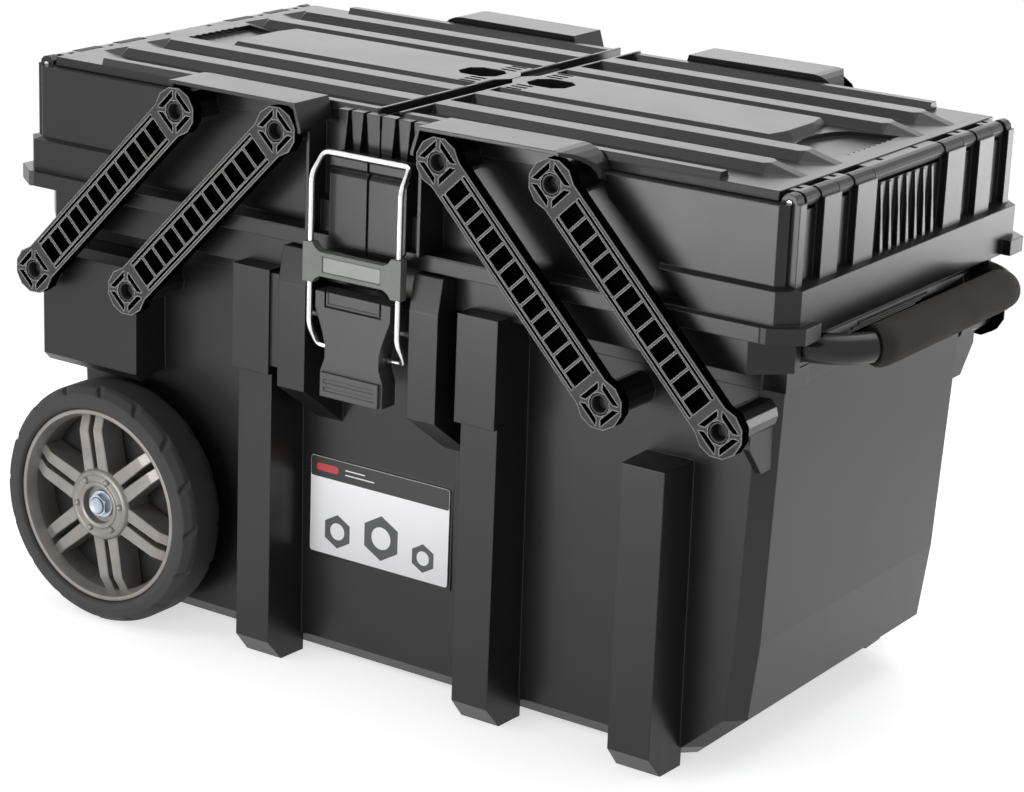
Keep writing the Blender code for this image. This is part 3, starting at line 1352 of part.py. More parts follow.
def build_lid():
    deck = []
    for inset, z in ((0.0, LID_LOW_Z), (0.001, LID_DECK_Z)):
        y = LID_HALF_Y - inset
        deck.append([(LID_IN_X, -y, z), (LID_OUT_X, -y, z), (LID_OUT_X, y, z), (LID_IN_X, y, z)])
    lid = loft(deck)
    ridge_start = LID_IN_X + LID_BORDER / 2
    border_y = LID_HALF_Y - 0.0012
    add = [
        ridge(0.0, PLATEAU_HALF_Y, ridge_start, PLATEAU_END_X, RIDGE_FOOT),
        box(LID_IN_X + GAP / 2, LID_IN_X + LID_BORDER, -border_y, border_y,
            LID_DECK_Z - GAP, LID_TOP_Z - GAP / 2),
    ]
    for face in (-1, 1):
        for y in RIDGE_Y:
            add.append(ridge(face * y, RIDGE_HALF_W, ridge_start, RIDGE_END_X, RIDGE_HIP))
        lip = [
            (face * (LID_HALF_Y - LIP_W), LID_DECK_Z - 0.001),
            (face * (LID_HALF_Y - LIP_W + WALL), LID_TOP_Z - LIP_DROP),
            (face * (LID_HALF_Y - WALL), LID_TOP_Z - LIP_DROP),
            (face * (LID_HALF_Y - 0.0008), LID_DECK_Z - 0.001),
        ]
        add.append(prism("x", lip, LID_IN_X + 0.001, RIDGE_END_X - 0.012))
    for y0, y1 in BARRELS:
        add.append(cylinder("y", (HINGE_X, HINGE_Z), y0, y1, BARREL_R, 12))
        add.append(box(LID_OUT_X - 0.002, HINGE_X, y0, y1, LID_LOW_Z + GAP, HINGE_Z + BARREL_R))
    tongue = [
        (ridge_start, -TONGUE_OUT_Y),
        (ridge_start, -TONGUE_IN_Y),
        (TRAY_SPLIT_X, -TONGUE_IN_Y - 0.007),
        (TRAY_SPLIT_X, -TONGUE_OUT_Y + 0.008),
    ]
    add.append(prism("z", tongue, LID_LOW_Z, LID_DECK_Z + 0.002))
    meeting = [
        (ridge_start, -CROSS_HALF_Y),
        (ridge_start, CROSS_HALF_Y),
        (TRAY_SPLIT_X, CROSS_HALF_Y / 3),
        (TRAY_SPLIT_X, -CROSS_HALF_Y / 3),
    ]
    add.append(prism("z", meeting, LID_LOW_Z + GAP, LID_TOP_Z))
    join(lid, *add)
    pocket_out = LID_OUT_X - HAND_EDGE
    pocket_in = pocket_out - HAND_STRAIGHT
    hand_half = PLATEAU_HALF_Y + 0.011
    hand_pocket = [
        (pocket_out, -hand_half),
        (pocket_out, hand_half),
        (pocket_in, hand_half - 0.010),
    ]
    hand_pocket += arc((pocket_in + HAND_R - 0.012, 0.0), HAND_R, 156, 204, 6)
    hand_pocket += [(pocket_in, -hand_half + 0.010)]
    cuts = [prism("z", hand_pocket, LID_DECK_Z - GRIP_SINK, LID_TOP_Z + WALL), finger_recess()]
    small = []
    for i in range(-TEETH // 2 + 1, TEETH // 2 + 1):
        y = TOOTH_PITCH * i
        small.append(box(
            pocket_out - 0.001, pocket_out + TOOTH_DEEP, y - TOOTH_PITCH / 4, y + TOOTH_PITCH / 4,
            LID_DECK_Z - GRIP_SINK / 2, LID_TOP_Z,
        ))
    hole = SQUARE_HOLE / 2
    hole_x = HINGE_X - WALL
    for y in (-BARREL_MIDDLE / 2, BARREL_MIDDLE / 2, *(sum(zone) / 2 for zone in BARRELS[1:])):
        small.append(box(
            hole_x - 2 * hole, hole_x, y - hole, y + hole,
            HINGE_Z + HINGE_BORE_R + 0.001, LID_TOP_Z,
        ))
    cuts.append(merge(small + ribbed_tab(-1) + ribbed_tab(1)))
    inner = LID_HALF_Y - 0.004
    pocket_room = hand_half + 0.004
    pocket_x = PLATEAU_END_X - 0.006
    recess_x = LID_IN_X + RECESS_WEB + RECESS_L + WALL
    under = [
        (LID_IN_X + WALL, -inner),
        (LID_OUT_X - WALL, -inner),
        (LID_OUT_X - WALL, -pocket_room),
        (pocket_x, -pocket_room),
        (pocket_x, pocket_room),
        (LID_OUT_X - WALL, pocket_room),
        (LID_OUT_X - WALL, inner),
        (LID_IN_X + WALL, inner),
        (LID_IN_X + WALL, RECESS_W / 2 + WALL),
        (recess_x, RECESS_W / 2 + WALL),
        (recess_x, -RECESS_W / 2 - WALL),
        (LID_IN_X + WALL, -RECESS_W / 2 - WALL),
    ]
    cuts.append(prism("z", under, LID_LOW_Z - WALL, LID_DECK_Z - WALL))
    reach = PILLAR_C[1] + WALL
    cuts.append(cylinder("y", (HINGE_X, HINGE_Z), -reach, reach, HINGE_BORE_R, 12))
    return cut(lid, *cuts)


def build_hinge_pin(hand):
    reach = PILLAR_C[1] + 0.0005
    return cylinder("y", (hand * HINGE_X, HINGE_Z), -reach, reach, HINGE_PIN_R, 12)


# Latch


def build_bail():
    half = [
        (LEVER_WAIST - PIN_SEAT, -BAIL_FOOT_Y, BAIL_FOOT_Z),
        (BAIL_X - 0.003, -BAIL_FOOT_Y, BAIL_FOOT_Z),
        (BAIL_X, -BAIL_FOOT_Y - 0.0015, BAIL_FOOT_Z + 0.003),
        (BAIL_X, -BAIL_Y, BAIL_FOOT_Z + 0.016),
        (BAIL_X, -BAIL_Y, BAIL_BAR_Z - 0.014),
        (BAIL_X - 0.0006, -BAIL_BAR_Y - 0.003, BAIL_BAR_Z - 0.0028),
        (BAIL_BAR_X - 0.0028, -BAIL_BAR_Y, BAIL_BAR_Z),
    ]
    left = [(-x, y, z) for x, y, z in half]
    return wire(left + list(reversed(half)), BAIL_R, 6)


def build_bridge():
    """Bar moulded round both legs of the bail, waisted between its flared ends."""
    waist_low, waist_high = BRIDGE_Z0 + BRIDGE_WAIST, BRIDGE_Z1 - BRIDGE_WAIST
    side = [
        (BRIDGE_HALF_X, BRIDGE_Z0),
        (BRIDGE_HALF_X, BRIDGE_Z1),
        (BAIL_X - 0.004, BRIDGE_Z1),
        (BAIL_X - 0.0065, waist_high + BRIDGE_WAIST * 0.4),
        (BAIL_X - 0.0105, waist_high),
    ]
    low_side = [
        (BAIL_X - 0.0105, waist_low),
        (BAIL_X - 0.0065, waist_low - BRIDGE_WAIST * 0.4),
        (BAIL_X - 0.004, BRIDGE_Z0),
    ]
    right = low_side + side
    outline = right + [(-x, z) for x, z in reversed(right)]
    bridge = prism("y", outline, -BRIDGE_FRONT, -BRIDGE_BACK)
    inset = BAIL_X - 0.0125
    cuts = [box(
        -inset, inset, -BRIDGE_FRONT - WALL, -BRIDGE_FRONT + 0.0008,
        waist_low + WALL, waist_high - WALL,
    )]
    for hand in (-1, 1):
        cuts.append(cylinder(
            "z", (hand * BAIL_X, -BAIL_Y), BRIDGE_Z0 - WALL, BRIDGE_Z1 + WALL, LATCH_BORE_R, 12
        ))
    return cut(bridge, *cuts)


def build_lever():
    """Lever with a waist, a framed tab in a window under the bridge and a slotted pad."""
    pad_top = LEVER_LOW_Z + LEVER_PAD_H
    half = [
        (LEVER_HALF_X, LEVER_TOP_Z),
        (LEVER_HALF_X, LEVER_TOP_Z - 0.011),
        (LEVER_WAIST + 0.0025, LEVER_TOP_Z - 0.027),
        (LEVER_WAIST, BAIL_FOOT_Z + 0.005),
        (LEVER_WAIST, BAIL_FOOT_Z - 0.005),
        (LEVER_PAD_HALF_X, pad_top),
        (LEVER_PAD_HALF_X, LEVER_LOW_Z),
    ]
    outline = half + [(-x, z) for x, z in reversed(half)]
    lever = prism("y", outline, -LEVER_FRONT, -LEVER_BACK)
    pad_half = LEVER_PAD_HALF_X - 0.002
    pad_front = LEVER_FRONT + 0.0025
    join(lever, box(
        -pad_half, pad_half, -pad_front, -LEVER_FRONT + 0.001, LEVER_LOW_Z + GAP, pad_top
    ))
    window = LEVER_HALF_X - 0.0075
    tab = window - 0.0015
    window_low = LEVER_TOP_Z - WINDOW_H
    cuts = [
        box(-tab + 0.004, tab - 0.004, -LEVER_FRONT + WALL, -LEVER_BACK + WALL,
            LEVER_LOW_Z + WALL, LEVER_PIVOT_Z - 0.012),
        box(-window, window, -LEVER_FRONT - WALL, -LEVER_FRONT + WINDOW_DEEP,
            window_low, LEVER_TOP_Z + WALL),
        cylinder("x", (-LEVER_PIVOT_Y, LEVER_PIVOT_Z), -BAIL_X, BAIL_X, LATCH_BORE_R, 12),
    ]
    for hand in (-1, 1):
        cuts.append(cylinder(
            "x", (-BAIL_FOOT_Y, BAIL_FOOT_Z), hand * (LEVER_WAIST - PIN_SEAT - 0.001),
            hand * BAIL_X, LATCH_BORE_R, 12,
        ))
    for i in (1, 2):
        z = LEVER_LOW_Z + LEVER_PAD_H * i / 3
        cuts.append(box(
            -pad_half + WALL, pad_half - WALL, -pad_front - WALL, -pad_front + 0.0006,
            z - 0.0014, z + 0.0014,
        ))
    cut(lever, *cuts)
    frame_low = window_low + 0.0015
    join(lever, box(
        -tab, tab, -LEVER_FRONT, -LEVER_FRONT + WINDOW_DEEP + 0.001, frame_low, LEVER_TOP_Z
    ))
    return cut(lever, box(
        -tab + 0.0015, tab - 0.0015, -LEVER_FRONT - WALL, -LEVER_FRONT + 0.0006,
        frame_low + 0.0015, LEVER_TOP_Z + WALL,
    ))


def build_latch_pin():
    reach = HOUSING_OUT_X - LATCH_PIN_SEAT - RUN
    return cylinder("x", (-LEVER_PIVOT_Y, LEVER_PIVOT_Z), -reach, reach, BAIL_R, 12)


# Assembly

PLASTIC_LOOK = (PLASTIC, 0.38)
ARM_LOOK = (ARM_BLACK, 0.55)

finish(build_base(), "base_bin", CHEST_BODY, PLASTIC_LOOK)
finish(build_guide(-1), "handle_guide_front", CHEST_BODY, PLASTIC_LOOK)
finish(build_guide(1), "handle_guide_back", CHEST_BODY, PLASTIC_LOOK)
finish(build_label(), "sticker_plate", CHEST_BODY, ((0.30, 0.42, 0.52), 0.45))
finish(build_axle(), "wheel_axle", CHEST_BODY, (STEEL, 0.35, 1.0), 40)

for face, word in ((-1, "front"), (1, "back")):
    wheel = Body(f"wheel_{word}_axis", CHEST_BODY, (WHEEL_X, face * (WHEEL_OUT_Y - WHEEL_W / 2), WHEEL_R))
    finish(build_tyre(face), f"tyre_{word}", wheel, (RUBBER, 0.75), 35)
    finish(build_hub(face), f"hub_{word}", wheel, (HUB_GREY, 0.42, 0.35), 35)
    finish(build_nut(face), f"wheel_nut_{word}", CHEST_BODY, (STEEL, 0.4, 1.0))

handle = Body("handle_axis", CHEST_BODY, (GRIP_X, 0, HANDLE_Z))
finish(build_tube(), "handle_tube", handle, ((0.02, 0.02, 0.021), 0.3, 0.6), 35)
finish(build_foam(), "handle_grip", handle, (FOAM, 0.8), 35)

lever_body = Body("latch_lever_axis", CHEST_BODY, (0, -LEVER_PIVOT_Y, LEVER_PIVOT_Z))
bail_body = Body("latch_bail_axis", lever_body, (0, -BAIL_FOOT_Y, BAIL_FOOT_Z))
finish(build_latch_pin(), "latch_pin", CHEST_BODY, (STEEL, 0.3, 1.0), 40)
finish(build_lever(), "latch_lever", lever_body, ((0.035, 0.036, 0.035), 0.45))
finish(build_bail(), "latch_bail", bail_body, (STEEL, 0.22, 1.0), 60)
finish(build_bridge(), "latch_bridge", bail_body, ((0.16, 0.17, 0.15), 0.5))

arm_blank = build_arm_blank()
for hand, side in ((-1, "left"), (1, "right")):
    outer = Body(f"{side}_outer_arm_axis", CHEST_BODY, (hand * ARM_LOW_OUT_X, 0, ARM_LOW_Z))
    inner = Body(f"{side}_inner_arm_axis", CHEST_BODY, (hand * ARM_LOW_IN_X, 0, ARM_LOW_Z))
    tray_body = Body(f"{side}_tray_axis", outer, (hand * ARM_TOP_OUT_X, 0, ARM_TOP_Z))
    lid_body = Body(f"{side}_lid_axis", tray_body, (hand * HINGE_X, 0, HINGE_Z))
    for face, word in ((-1, "front"), (1, "back")):
        for body, low_x, top_x, rank in (
            (outer, ARM_LOW_OUT_X, ARM_TOP_OUT_X, "outer"),
            (inner, ARM_LOW_IN_X, ARM_TOP_IN_X, "inner"),
        ):
            arm = place_arm(arm_blank, hand, face, low_x)
            finish(arm, f"{side}_{rank}_arm_{word}", body, ARM_LOOK)
            low_pin = build_pin(hand * low_x, ARM_LOW_Z, face)
            finish(low_pin, f"{side}_{rank}_low_pin_{word}", CHEST_BODY, (STEEL, 0.3, 1.0), 40)
            top_pin = build_pin(hand * top_x, ARM_TOP_Z, face)
            finish(top_pin, f"{side}_{rank}_top_pin_{word}", tray_body, (STEEL, 0.3, 1.0), 40)
    finish(build_tray(hand), f"{side}_tray", tray_body, PLASTIC_LOOK)
    lid = build_lid()
    if hand < 0:
        turned_lid = copied(lid, HALF_TURN)
        discard(lid)
        lid = turned_lid
    finish(lid, f"{side}_lid", lid_body, PLASTIC_LOOK)
    finish(build_hinge_pin(hand), f"{side}_lid_pin", lid_body, (STEEL, 0.3, 1.0), 40)
discard(arm_blank)
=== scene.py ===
"""Looks of a wheeled cantilever tool chest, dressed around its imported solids."""

import math

import bmesh
import bpy
import numpy as np
from mathutils import Matrix, Vector


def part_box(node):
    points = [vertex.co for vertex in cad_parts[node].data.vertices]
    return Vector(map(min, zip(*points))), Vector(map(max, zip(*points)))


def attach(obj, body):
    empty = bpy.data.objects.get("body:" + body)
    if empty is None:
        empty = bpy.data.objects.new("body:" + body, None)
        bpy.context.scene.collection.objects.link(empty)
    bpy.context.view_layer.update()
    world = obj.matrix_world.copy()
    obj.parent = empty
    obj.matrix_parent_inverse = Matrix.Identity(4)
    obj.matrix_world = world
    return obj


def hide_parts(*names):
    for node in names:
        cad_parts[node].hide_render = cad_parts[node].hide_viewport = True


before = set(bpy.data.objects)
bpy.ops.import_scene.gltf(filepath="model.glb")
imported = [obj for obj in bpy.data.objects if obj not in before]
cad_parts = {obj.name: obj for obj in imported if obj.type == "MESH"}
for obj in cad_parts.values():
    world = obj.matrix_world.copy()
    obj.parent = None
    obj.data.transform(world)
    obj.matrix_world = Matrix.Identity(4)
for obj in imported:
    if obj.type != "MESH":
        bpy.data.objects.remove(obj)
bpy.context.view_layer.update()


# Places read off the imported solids


def middle(node):
    """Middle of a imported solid's box."""
    low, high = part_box(node)
    return (low + high) / 2


SPLIT_X = middle("latch_pin").x
WHEEL = middle("wheel_axle")
ARM_OUTER_Y = -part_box("left_outer_arm_front")[0].y

# Sizes of the finer pieces, in metres
TYRE_R = 0.0887
TYRE_BEAD_R = 0.0722
TYRE_W = 0.0422
TREAD_BLOCKS = 16
TREAD_GROOVE = 0.0024
TREAD_NOTCH_HALF_W = 0.0018
TREAD_STEP = 0.0007
HUB_R = 0.0719
HUB_RIM_WALL = 0.0064
HUB_DISC_R = 0.0270
AXLE_BORE_R = 0.0064
SPOKE_HALF_W = np.array([0.0049, 0.0043, 0.0043, 0.0042, 0.0041])
SPOKE_LANE = 0.0066
SPOKE_PAIRS = 6
SPOKE_BACK = 0.0282
SPOKE_EASE = 0.0006
FIRST_SPOKE_DEG = 20.0
STUD_R = 0.0025
STUD_H = 0.0024
STUD_RING_R = 0.0202
STUD_DEG = 27.0
WEB_FRONT, WEB_BACK = 0.0292, 0.0306
NUT_REACH = 0.0085
TUBE_R = 0.0100
TUBE_WALL = 0.0012
TUBE_BEND_R = 0.0400
FOAM_R = 0.01398
FOAM_GAP = 0.0003
FOAM_STATIONS = 41
WIRE_R = 0.0020
WIRE_BEND_R = 0.0050
INLAY_HALF_W = 0.0237
INLAY_FOOT, INLAY_TOP = 0.0087, 0.0188
EDGE = 0.0011
FINE_EDGE = 0.0003
WELD = 0.000004
FLAT_DEG = 0.6
SHARP_DEG = 28.0
FILM_STEP = 0.00006
LINE_RELIEF = 0.00015
RING_RELIEF = 0.00012

SIDES = ("left", "right")
ARMS = [
    (side, rank, face)
    for side in SIDES for rank in ("outer", "inner") for face in ("front", "back")
]


# Camera: the photograph's own viewpoint

CAMERA_AT = (1.1371 + SPLIT_X, -1.7000, 0.8184)
CAMERA_YAW = math.radians(33.62)
CAMERA_PITCH = math.radians(17.45)
CAMERA_ROLL = math.radians(2.28)
LENS = 104.45


def add_camera():
    """Camera axes from yaw, pitch and roll: forward, then right and up turned by the roll."""
    forward = Vector((
        -math.sin(CAMERA_YAW) * math.cos(CAMERA_PITCH),
        math.cos(CAMERA_YAW) * math.cos(CAMERA_PITCH),
        -math.sin(CAMERA_PITCH),
    ))
    level_right = forward.cross(Vector((0, 0, 1))).normalized()
    level_up = level_right.cross(forward)
    right = math.cos(CAMERA_ROLL) * level_right + math.sin(CAMERA_ROLL) * level_up
    up = math.cos(CAMERA_ROLL) * level_up - math.sin(CAMERA_ROLL) * level_right
    data = bpy.data.cameras.new("photo_camera")
    data.lens = LENS
    data.sensor_width = 36.0
    data.sensor_fit = "HORIZONTAL"
    data.clip_start = 0.05
    data.clip_end = 50.0
    camera = bpy.data.objects.new("photo_camera", data)
    turn = Matrix((right, up, -forward)).transposed().to_4x4()
    camera.matrix_world = Matrix.Translation(CAMERA_AT) @ turn
    bpy.context.scene.collection.objects.link(camera)
    bpy.context.scene.camera = camera


add_camera()
bpy.context.scene.view_settings.view_transform = "Standard"


# Light and floor


def add_softbox(name, at, target, size, power, size_y=None):
    """Rectangular lamp at one place that faces another, its power in watts."""
    data = bpy.data.lights.new(name, "AREA")
    data.shape = "RECTANGLE"
    data.size = size
    data.size_y = size_y or size
    data.energy = power
    lamp = bpy.data.objects.new(name, data)
    lamp.location = at
    aim = Vector(target) - Vector(at)
    lamp.rotation_mode = "QUATERNION"
    lamp.rotation_quaternion = aim.to_track_quat("-Z", "Y")
    bpy.context.scene.collection.objects.link(lamp)


def seen_directly(nodes, links):
    """1 for camera, glossy and transmission rays, which see the white background."""
    path = nodes.new("ShaderNodeLightPath")
    first = nodes.new("ShaderNodeMath")
    first.operation = "MAXIMUM"
    links.new(path.outputs["Is Camera Ray"], first.inputs[0])
    links.new(path.outputs["Is Glossy Ray"], first.inputs[1])
    both = nodes.new("ShaderNodeMath")
    both.operation = "MAXIMUM"
    links.new(first.outputs[0], both.inputs[0])
    links.new(path.outputs["Is Transmission Ray"], both.inputs[1])
    return both.outputs[0]


def light_world(level):
    """White background that lights the part at a lower level than it is seen with."""
    world = bpy.data.worlds.new("studio")
    bpy.context.scene.world = world
    world.use_nodes = True
    nodes, links = world.node_tree.nodes, world.node_tree.links
    glow = nodes["Background"]
    glow.inputs["Color"].default_value = (1, 1, 1, 1)
    strength = nodes.new("ShaderNodeMapRange")
    strength.inputs["To Min"].default_value = level
    strength.inputs["To Max"].default_value = 1.0
    links.new(seen_directly(nodes, links), strength.inputs["Value"])
    links.new(strength.outputs[0], glow.inputs["Strength"])


FLOOR_HALF = 3.0
FLOOR_FADE = (0.50, 1.00)
FLOOR_LIFT = 0.60
FLOOR_PAINT = (0.86, 0.86, 0.87, 1)


def add_floor():
    """White floor that keeps a soft shadow near the chest and runs out to plain white."""
    mesh = bpy.data.meshes.new("studio_floor")
    corners = [(-1, -1), (1, -1), (1, 1), (-1, 1)]
    vertices = [(FLOOR_HALF * x, FLOOR_HALF * y, 0.0) for x, y in corners]
    mesh.from_pydata(vertices, [], [(0, 1, 2, 3)])
    floor = bpy.data.objects.new("studio_floor", mesh)
    bpy.context.scene.collection.objects.link(floor)
    material = bpy.data.materials.new("studio_floor")
    material.use_nodes = True
    nodes, links = material.node_tree.nodes, material.node_tree.links
    nodes.remove(nodes["Principled BSDF"])
    paint = nodes.new("ShaderNodeBsdfDiffuse")
    paint.inputs["Color"].default_value = FLOOR_PAINT
    lift = nodes.new("ShaderNodeEmission")
    add = nodes.new("ShaderNodeAddShader")
    plain = nodes.new("ShaderNodeEmission")
    fade = nodes.new("ShaderNodeMixShader")
    coords = nodes.new("ShaderNodeTexCoord")
    length = nodes.new("ShaderNodeVectorMath")
    length.operation = "LENGTH"
    links.new(coords.outputs["Object"], length.inputs[0])
    ramp = nodes.new("ShaderNodeMapRange")
    ramp.interpolation_type = "SMOOTHSTEP"
    ramp.inputs["From Min"].default_value = FLOOR_FADE[0]
    ramp.inputs["From Max"].default_value = FLOOR_FADE[1]
    links.new(length.outputs["Value"], ramp.inputs["Value"])
    seen = seen_directly(nodes, links)
    dim = nodes.new("ShaderNodeMath")
    dim.operation = "MULTIPLY"
    dim.inputs[1].default_value = FLOOR_LIFT
    links.new(seen, dim.inputs[0])
    links.new(dim.outputs[0], lift.inputs["Strength"])
    share = nodes.new("ShaderNodeMath")
    share.operation = "MULTIPLY"
    links.new(seen, share.inputs[0])
    links.new(ramp.outputs[0], share.inputs[1])
    links.new(paint.outputs[0], add.inputs[0])
    links.new(lift.outputs[0], add.inputs[1])
    links.new(share.outputs[0], fade.inputs[0])
    links.new(add.outputs[0], fade.inputs[1])
    links.new(plain.outputs[0], fade.inputs[2])
    links.new(fade.outputs[0], nodes["Material Output"].inputs["Surface"])
    mesh.materials.append(material)


light_world(0.45)
add_floor()
add_softbox("top_softbox", (0.2, 0.7, 2.3), (0, 0, 0.2), 2.0, 24.0)
add_softbox("back_softbox", (-1.6, 2.5, 1.1), (0, 0, 0.4), 2.4, 9.0, 1.0)
add_softbox("front_softbox", (-1.6, -2.2, 1.9), (0, 0, 0.2), 1.3, 12.0)
add_softbox("low_softbox", (-0.36, -1.30, 0.16), (0.15, -0.14, 0.22), 0.75, 8.0, 0.3)
add_softbox("end_softbox", (0.95, 1.20, 0.16), (0.32, 0, 0.30), 0.8, 4.5, 0.3)


# Materials


class Finish:
    """Node material in the making: a Principled shader and the textures that feed it."""

    BEVEL_SAMPLES = 4
    NOISE_SPAN = (0.3, 0.7)

    def __init__(self, name, **sockets):
        self.material = bpy.data.materials.new(name)
        self.material.use_nodes = True
        self.tree = self.material.node_tree
        self.shader = self.tree.nodes["Principled BSDF"]
        self.place = self.tree.nodes.new("ShaderNodeTexCoord").outputs["Object"]
        self.normals = []
        for socket, value in sockets.items():
            self.shader.inputs[socket.replace("_", " ")].default_value = value

    def link(self, source, target):
        self.tree.links.new(source, target)

    def noise(self, scale, detail=2.0, rough=0.5, stretch=None):
        node = self.tree.nodes.new("ShaderNodeTexNoise")
        node.inputs["Scale"].default_value = scale
        node.inputs["Detail"].default_value = detail
        node.inputs["Roughness"].default_value = rough
        self.link(self.stretched(stretch), node.inputs["Vector"])
        return node.outputs["Fac"]

    def cells(self, scale):
        node = self.tree.nodes.new("ShaderNodeTexVoronoi")
        node.inputs["Scale"].default_value = scale
        self.link(self.place, node.inputs["Vector"])
        return node.outputs["Distance"]

    def stretched(self, stretch):
        if stretch is None:
            return self.place
        node = self.tree.nodes.new("ShaderNodeMapping")
        node.inputs["Scale"].default_value = stretch
        self.link(self.place, node.inputs["Vector"])
        return node.outputs["Vector"]

    def spread(self, value, low, high, to_low=0.0, to_high=1.0):
        """Map a value's range onto another, held at both ends."""
        node = self.tree.nodes.new("ShaderNodeMapRange")
        for socket, number in (
            ("From Min", low), ("From Max", high), ("To Min", to_low), ("To Max", to_high)
        ):
            node.inputs[socket].default_value = number
        self.link(value, node.inputs["Value"])
        return node.outputs[0]

    def clouded(self, noise, to_low=0.0, to_high=1.0):
        """Map the span that a noise mostly fills onto another."""
        return self.spread(noise, *self.NOISE_SPAN, to_low, to_high)

    def math(self, operation, first, second=None):
        node = self.tree.nodes.new("ShaderNodeMath")
        node.operation = operation
        for socket, value in zip(node.inputs, (first, second)):
            if isinstance(value, (int, float)):
                socket.default_value = value
            elif value is not None:
                self.link(value, socket)
        return node.outputs[0]

    def axis(self, name):
        node = self.tree.nodes.new("ShaderNodeSeparateXYZ")
        self.link(self.place, node.inputs[0])
        return node.outputs[name]

    def blend(self, share, first, second):
        """Colour between two colours, or between a colour and a socket."""
        node = self.tree.nodes.new("ShaderNodeMix")
        node.data_type = "RGBA"
        self.link(share, node.inputs["Factor"])
        for key, value in (("A", first), ("B", second)):
            socket = [s for s in node.inputs if s.name == key and s.type == "RGBA"][0]
            if isinstance(value, tuple):
                socket.default_value = (*value, 1.0)
            else:
                self.link(value, socket)
        return [s for s in node.outputs if s.type == "RGBA"][0]

    def round_normal(self, radius):
        """Normal that runs round sharp edges within a radius."""
        bevel = self.tree.nodes.new("ShaderNodeBevel")
        bevel.samples = self.BEVEL_SAMPLES
        bevel.inputs["Radius"].default_value = radius
        return bevel.outputs[0]

    def soften(self, radius):
        """Start the relief from the rounded normal."""
        self.normals.append(self.round_normal(radius))
        self.link(self.normals[-1], self.shader.inputs["Normal"])

    def edges(self, radius):
        """1 along sharp edges, where a rounded normal leaves the true one."""
        geometry = self.tree.nodes.new("ShaderNodeNewGeometry")
        dot = self.tree.nodes.new("ShaderNodeVectorMath")
        dot.operation = "DOT_PRODUCT"
        self.link(self.round_normal(radius), dot.inputs[0])
        self.link(geometry.outputs["Normal"], dot.inputs[1])
        return self.spread(dot.outputs["Value"], 0.99, 0.80)

    def colour(self, source):
        self.link(source, self.shader.inputs["Base Color"])

    def roughness(self, source):
        self.link(source, self.shader.inputs["Roughness"])

    def relief(self, height, depth):
        """Add a layer of fine relief, its depth in metres."""
        node = self.tree.nodes.new("ShaderNodeBump")
        node.inputs["Strength"].default_value = 1.0
        node.inputs["Distance"].default_value = depth
        self.link(height, node.inputs["Height"])
        if self.normals:
            self.link(self.normals[-1], node.inputs["Normal"])
        self.normals.append(node.outputs[0])
        self.link(node.outputs[0], self.shader.inputs["Normal"])


def moulded_black():
    """Satin black polypropylene: faint clouding, fine moulded grain, long scuffs."""
    look = Finish("moulded_black", IOR=1.50, Specular_IOR_Level=0.40)
    look.soften(EDGE)
    cloud = look.clouded(look.noise(9.0, 3.0))
    look.colour(look.blend(cloud, (0.0085, 0.0080, 0.0079), (0.0120, 0.0112, 0.0110)))
    grain = look.noise(1500.0, 2.0)
    scuffs = look.noise(24.0, 3.0)
    look.roughness(look.spread(scuffs, 0.35, 0.75, 0.300, 0.325))
    look.relief(grain, 0.000018)
    return look.material


def arm_black():
    """Rough glass-filled nylon: speckled outer faces under a painted sheen, painted highlights
    along their edges, and painted shade that makes the cells black.
    """
    look = Finish("arm_black", IOR=1.50, Specular_IOR_Level=0.25)
    speck = look.cells(1700.0)
    grit = look.noise(2300.0, 3.0, 0.7)
    reach = look.math("ABSOLUTE", look.axis("Y"))
    # face is 1 on the outer faces and 0 in the cells. Painted shade makes the cells near black, and
    # a painted sheen with speckled grain makes the outer faces grey.
    face = look.spread(reach, ARM_OUTER_Y - 0.0012, ARM_OUTER_Y - 0.0003)
    pale = look.spread(grit, 0.44, 0.66)
    face_sheen_speckle = look.math("MULTIPLY", face, look.spread(pale, 0.0, 1.0, 0.25, 1.0))
    base = look.blend(face_sheen_speckle, (0.0015, 0.0015, 0.0016), (0.050, 0.049, 0.048))
    # Painted highlight: pale grey along the sharp edges of the outer faces.
    edge_highlight = look.math("MULTIPLY", look.edges(0.0017), face)
    look.colour(look.blend(edge_highlight, base, (0.42, 0.42, 0.41)))
    # The cells also get no specular, which keeps their painted shade black.
    look.link(look.spread(face, 0.0, 1.0, 0.0, 0.30), look.shader.inputs["Specular IOR Level"])
    look.roughness(look.clouded(grit, 0.42, 0.62))
    look.relief(speck, 0.00008)
    return look.material


def tyre_rubber():
    """Grey-black rubber with a dry mottled bloom."""
    look = Finish("tyre_rubber", IOR=1.48)
    bloom = look.noise(45.0, 4.0, 0.6)
    tone = look.clouded(bloom)
    look.colour(look.blend(tone, (0.026, 0.0255, 0.0265), (0.035, 0.0345, 0.036)))
    look.roughness(look.clouded(bloom, 0.66, 0.84))
    look.relief(look.noise(900.0, 3.0), 0.00006)
    return look.material


def hub_bronze():
    """Grey-bronze painted plastic with a fine metal fleck."""
    look = Finish("hub_bronze", Metallic=0.45, IOR=1.5)
    fleck = look.cells(2600.0)
    tone = look.noise(70.0, 3.0)
    base = look.blend(look.clouded(tone), (0.205, 0.190, 0.176), (0.255, 0.238, 0.222))
    look.colour(look.blend(look.spread(fleck, 0.0, 0.30, 0.35, 0.0), base, (0.42, 0.40, 0.37)))
    look.roughness(look.clouded(tone, 0.36, 0.48))
    look.relief(look.noise(1100.0), 0.00002)
    return look.material


def zinc(name, tint, rough):
    """Plated steel: bright, with soft cloudy streaks."""
    look = Finish(name, Metallic=1.0)
    cloud = look.noise(260.0, 4.0, 0.6, (1.0, 1.0, 0.35))
    dull = tuple(0.82 * c for c in tint)
    look.colour(look.blend(look.clouded(cloud), dull, tint))
    look.roughness(look.clouded(cloud, rough, rough + 0.14))
    return look.material


